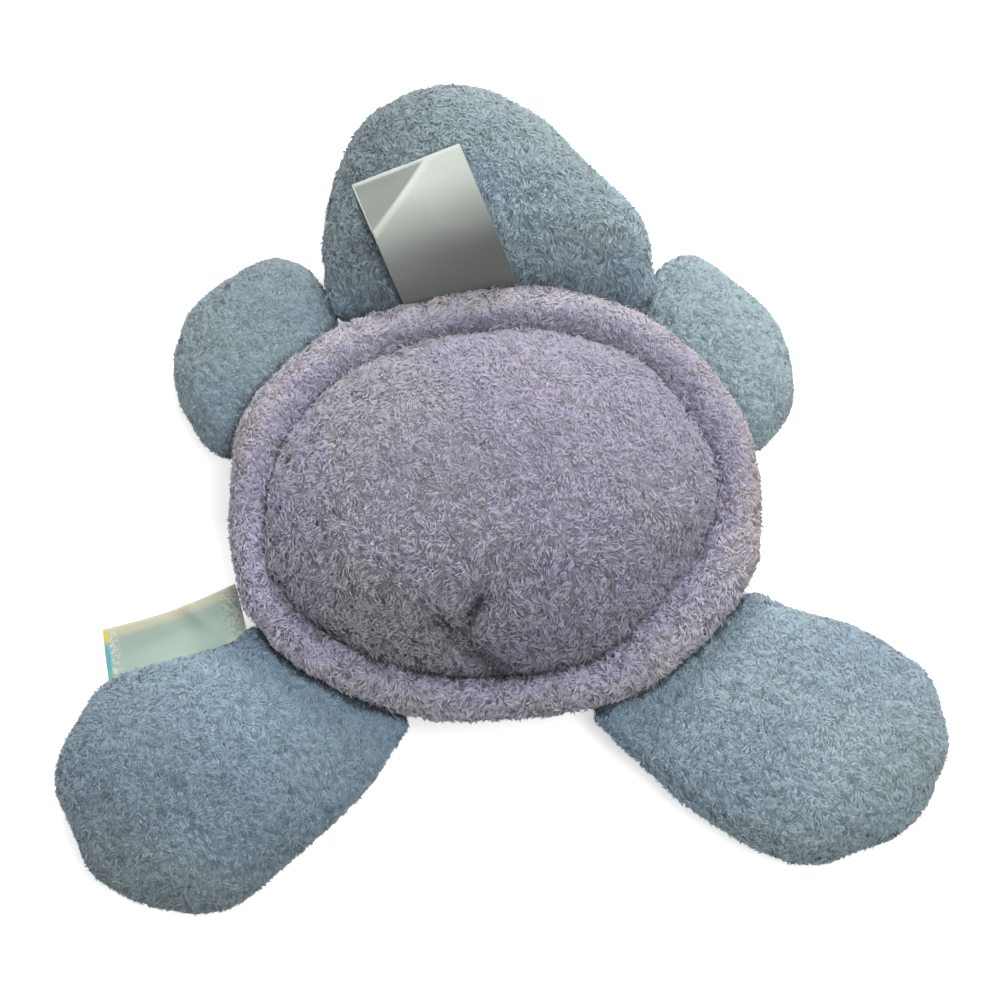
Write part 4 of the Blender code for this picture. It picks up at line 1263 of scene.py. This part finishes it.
def build_label(head):
    """The care label: a folded satin ribbon that arches over the head's back, one corner creased down."""
    tree = surface_tree(head)
    columns = np.linspace(0, 1, LABEL_COLUMNS)
    rows = np.linspace(LABEL_START, 1, LABEL_ROWS)
    ground = {}
    for along in rows:
        for across in columns:
            eye, line = sight(between(LABEL_CORNERS, across, along))
            hit = tree.ray_cast(eye, line)[0]
            if hit is not None:
                ground[across, along] = (hit - eye).length
    terms = np.array([label_terms(*place) for place in ground])
    depths = np.array(list(ground.values()))
    fit = np.linalg.lstsq(terms, depths, rcond=None)[0]
    clear = max((terms @ fit - depths)[terms[:, 2] > LABEL_CLEAR_FROM].max(), 0)

    def leaf_points(across, along):
        """The points of the upper and the lower leaf at a place on the label."""
        forward = max(along, 0)
        pixel = between(LABEL_CORNERS, across, along)
        depth = np.dot(label_terms(across, along), fit)
        depth -= LABEL_LIFT + step(along, 0, LABEL_CLEAR_AT, 0, clear) + LABEL_TIP_LIFT * forward
        depth -= LABEL_ARCH * 4 * forward * (1 - along) + LABEL_FLARE * bell(along, FLARE_REACH)
        over = beyond(pixel, LABEL_CREASE_SIDE, LABEL_CREASE_TOP) * METRES_PER_PIXEL
        over = (over + math.hypot(over, CREASE_ROUND)) / 2
        lowest = ground.get((across, along), depth + OPEN_DEPTH) - LABEL_CORNER_LIFT
        dropped = depth + over * math.tan(LABEL_CORNER_DROP)
        dropped = (dropped + lowest - math.hypot(dropped - lowest, CORNER_SOFTNESS)) / 2
        depth = step(over, 0, CREASE_ROUND, depth, dropped)
        for mark in CORNER_MARKS:
            depth -= MARK_HEIGHT * bell(line_distance(np.array([pixel]), *mark)[0], MARK_REACH)
        depth = float(depth)
        eye, line = sight(pixel)
        pixel[0] -= LEAF_SKEW / METRES_PER_PIXEL * forward
        return eye + line * depth, eye + sight(pixel)[1] * (depth + LEAF_SPACING)

    points = folded_rows(leaf_points, rows, columns, LEAF_SPACING / 2)
    label = ribbon_mesh("care_label_satin", points, label_material())
    place_piece(label, "care_label", "silver_satin", "care_label")


def build_tag():
    """The side tag: a folded satin ribbon that stands out of the rear left leg's seam and sags."""
    low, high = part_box("side_tag")

    def leaf_points(across, along):
        """The points of the upper and the lower leaf at a place on the tag."""
        opening = step(along, *TAG_OPENING)
        half = mix(TAG_HALF_ROOT, TAG_HALF_FOLD, opening)
        pixel = between(TAG_CORNERS, across, along)
        pixel[1] += TAG_SAG * math.sin(math.pi * across) * max(along, 0)
        point = at_height(pixel, (low.z + high.z) / 2)
        lift = TAG_LIFT * bell(along - TAG_OPENING[0], TAG_LIFT_REACH)
        lift *= sum(bell(across - place, reach) for place, reach in TAG_WAVES)
        for start, end, reach, size in TAG_RIPPLES:
            lift += size * bell(across - mix(start, end, along), reach) * opening
        return point + Vector((0, 0, half + lift)), point + Vector((0, 0, lift * LOWER_LEAF_SHARE - half))

    rows = np.linspace(TAG_START, TAG_END, TAG_ROWS)
    points = folded_rows(leaf_points, rows, np.linspace(0, 1, TAG_COLUMNS), TAG_BULGE)
    tag = ribbon_mesh("side_tag_satin", points, tag_material())
    place_piece(tag, "side_tag", "mint_satin", "side_tag")


def build_floor():
    """A pale floor that the camera sees white, with the object's shadow."""
    bm = bmesh.new()
    bmesh.ops.create_grid(bm, x_segments=1, y_segments=1, size=FLOOR_HALF)
    floor = mesh_object("floor", bm)
    finish = {"Base Color": (*FLOOR, 1), "Roughness": FLOOR_ROUGHNESS, "Emission Color": (*WHITE, 1)}
    shader = Shader("floor", finish)
    place = shader.add("ShaderNodeNewGeometry")
    away = shader.add("ShaderNodeVectorMath", operation="LENGTH")
    shader.feed(away.inputs[0], place.outputs["Position"])
    far = shader.math("MULTIPLY", shader.math("SUBTRACT", away.outputs["Value"], GLOW_START), GLOW_RISE)
    far = shader.math("MAXIMUM", shader.math("MINIMUM", far, FAR_GLOW - NEAR_GLOW), 0)
    glow = shader.math("MULTIPLY", shader.seen_rays(), shader.math("ADD", far, NEAR_GLOW))
    shader.feed(shader.shader.inputs["Emission Strength"], glow)
    floor.data.materials.append(shader.material)


def build_lights():
    """Soft light from the head's side, and a world that is white for the camera only."""
    world = bpy.context.scene.world or bpy.data.worlds.new("studio")
    bpy.context.scene.world = world
    world.use_nodes = True
    inputs = world.node_tree.nodes["Background"].inputs
    nodes = Nodes(world.node_tree)
    nodes.feed(inputs["Color"], (*WHITE, 1))
    nodes.feed(inputs["Strength"], nodes.math("MAXIMUM", nodes.seen_rays(), WORLD_LIGHT))
    for name, (place, power) in LIGHTS.items():
        data = bpy.data.lights.new(name, "AREA")
        data.shape = "DISK"
        data.size = LIGHT_SIZE
        data.energy = power
        light = new_object(name, data)
        light.location = place
        light.rotation_mode = "QUATERNION"
        light.rotation_quaternion = (VIEW_AIM - Vector(place)).to_track_quat("-Z", "Y")


def build_camera():
    """The camera above the shell, at the photograph's angle."""
    camera = new_object("camera", bpy.data.cameras.new("camera"))
    right, up, back = view_axes()
    camera.location = VIEW_AIM + back * VIEW_DISTANCE
    camera.rotation_mode = "QUATERNION"
    camera.rotation_quaternion = Matrix((right, up, back)).transposed().to_quaternion()
    camera.data.sensor_width = SENSOR_WIDTH
    camera.data.lens = SENSOR_WIDTH * VIEW_DISTANCE / (METRES_PER_PIXEL * IMAGE_SIZE)
    bpy.context.scene.camera = camera
    bpy.context.scene.view_settings.view_transform = "Standard"


plush_forms = build_forms()
build_threads(plush_forms)
carry_forms(plush_forms)
grow_all(plush_forms)
build_label(plush_forms["head"])
build_tag()
build_floor()
build_lights()
build_camera()
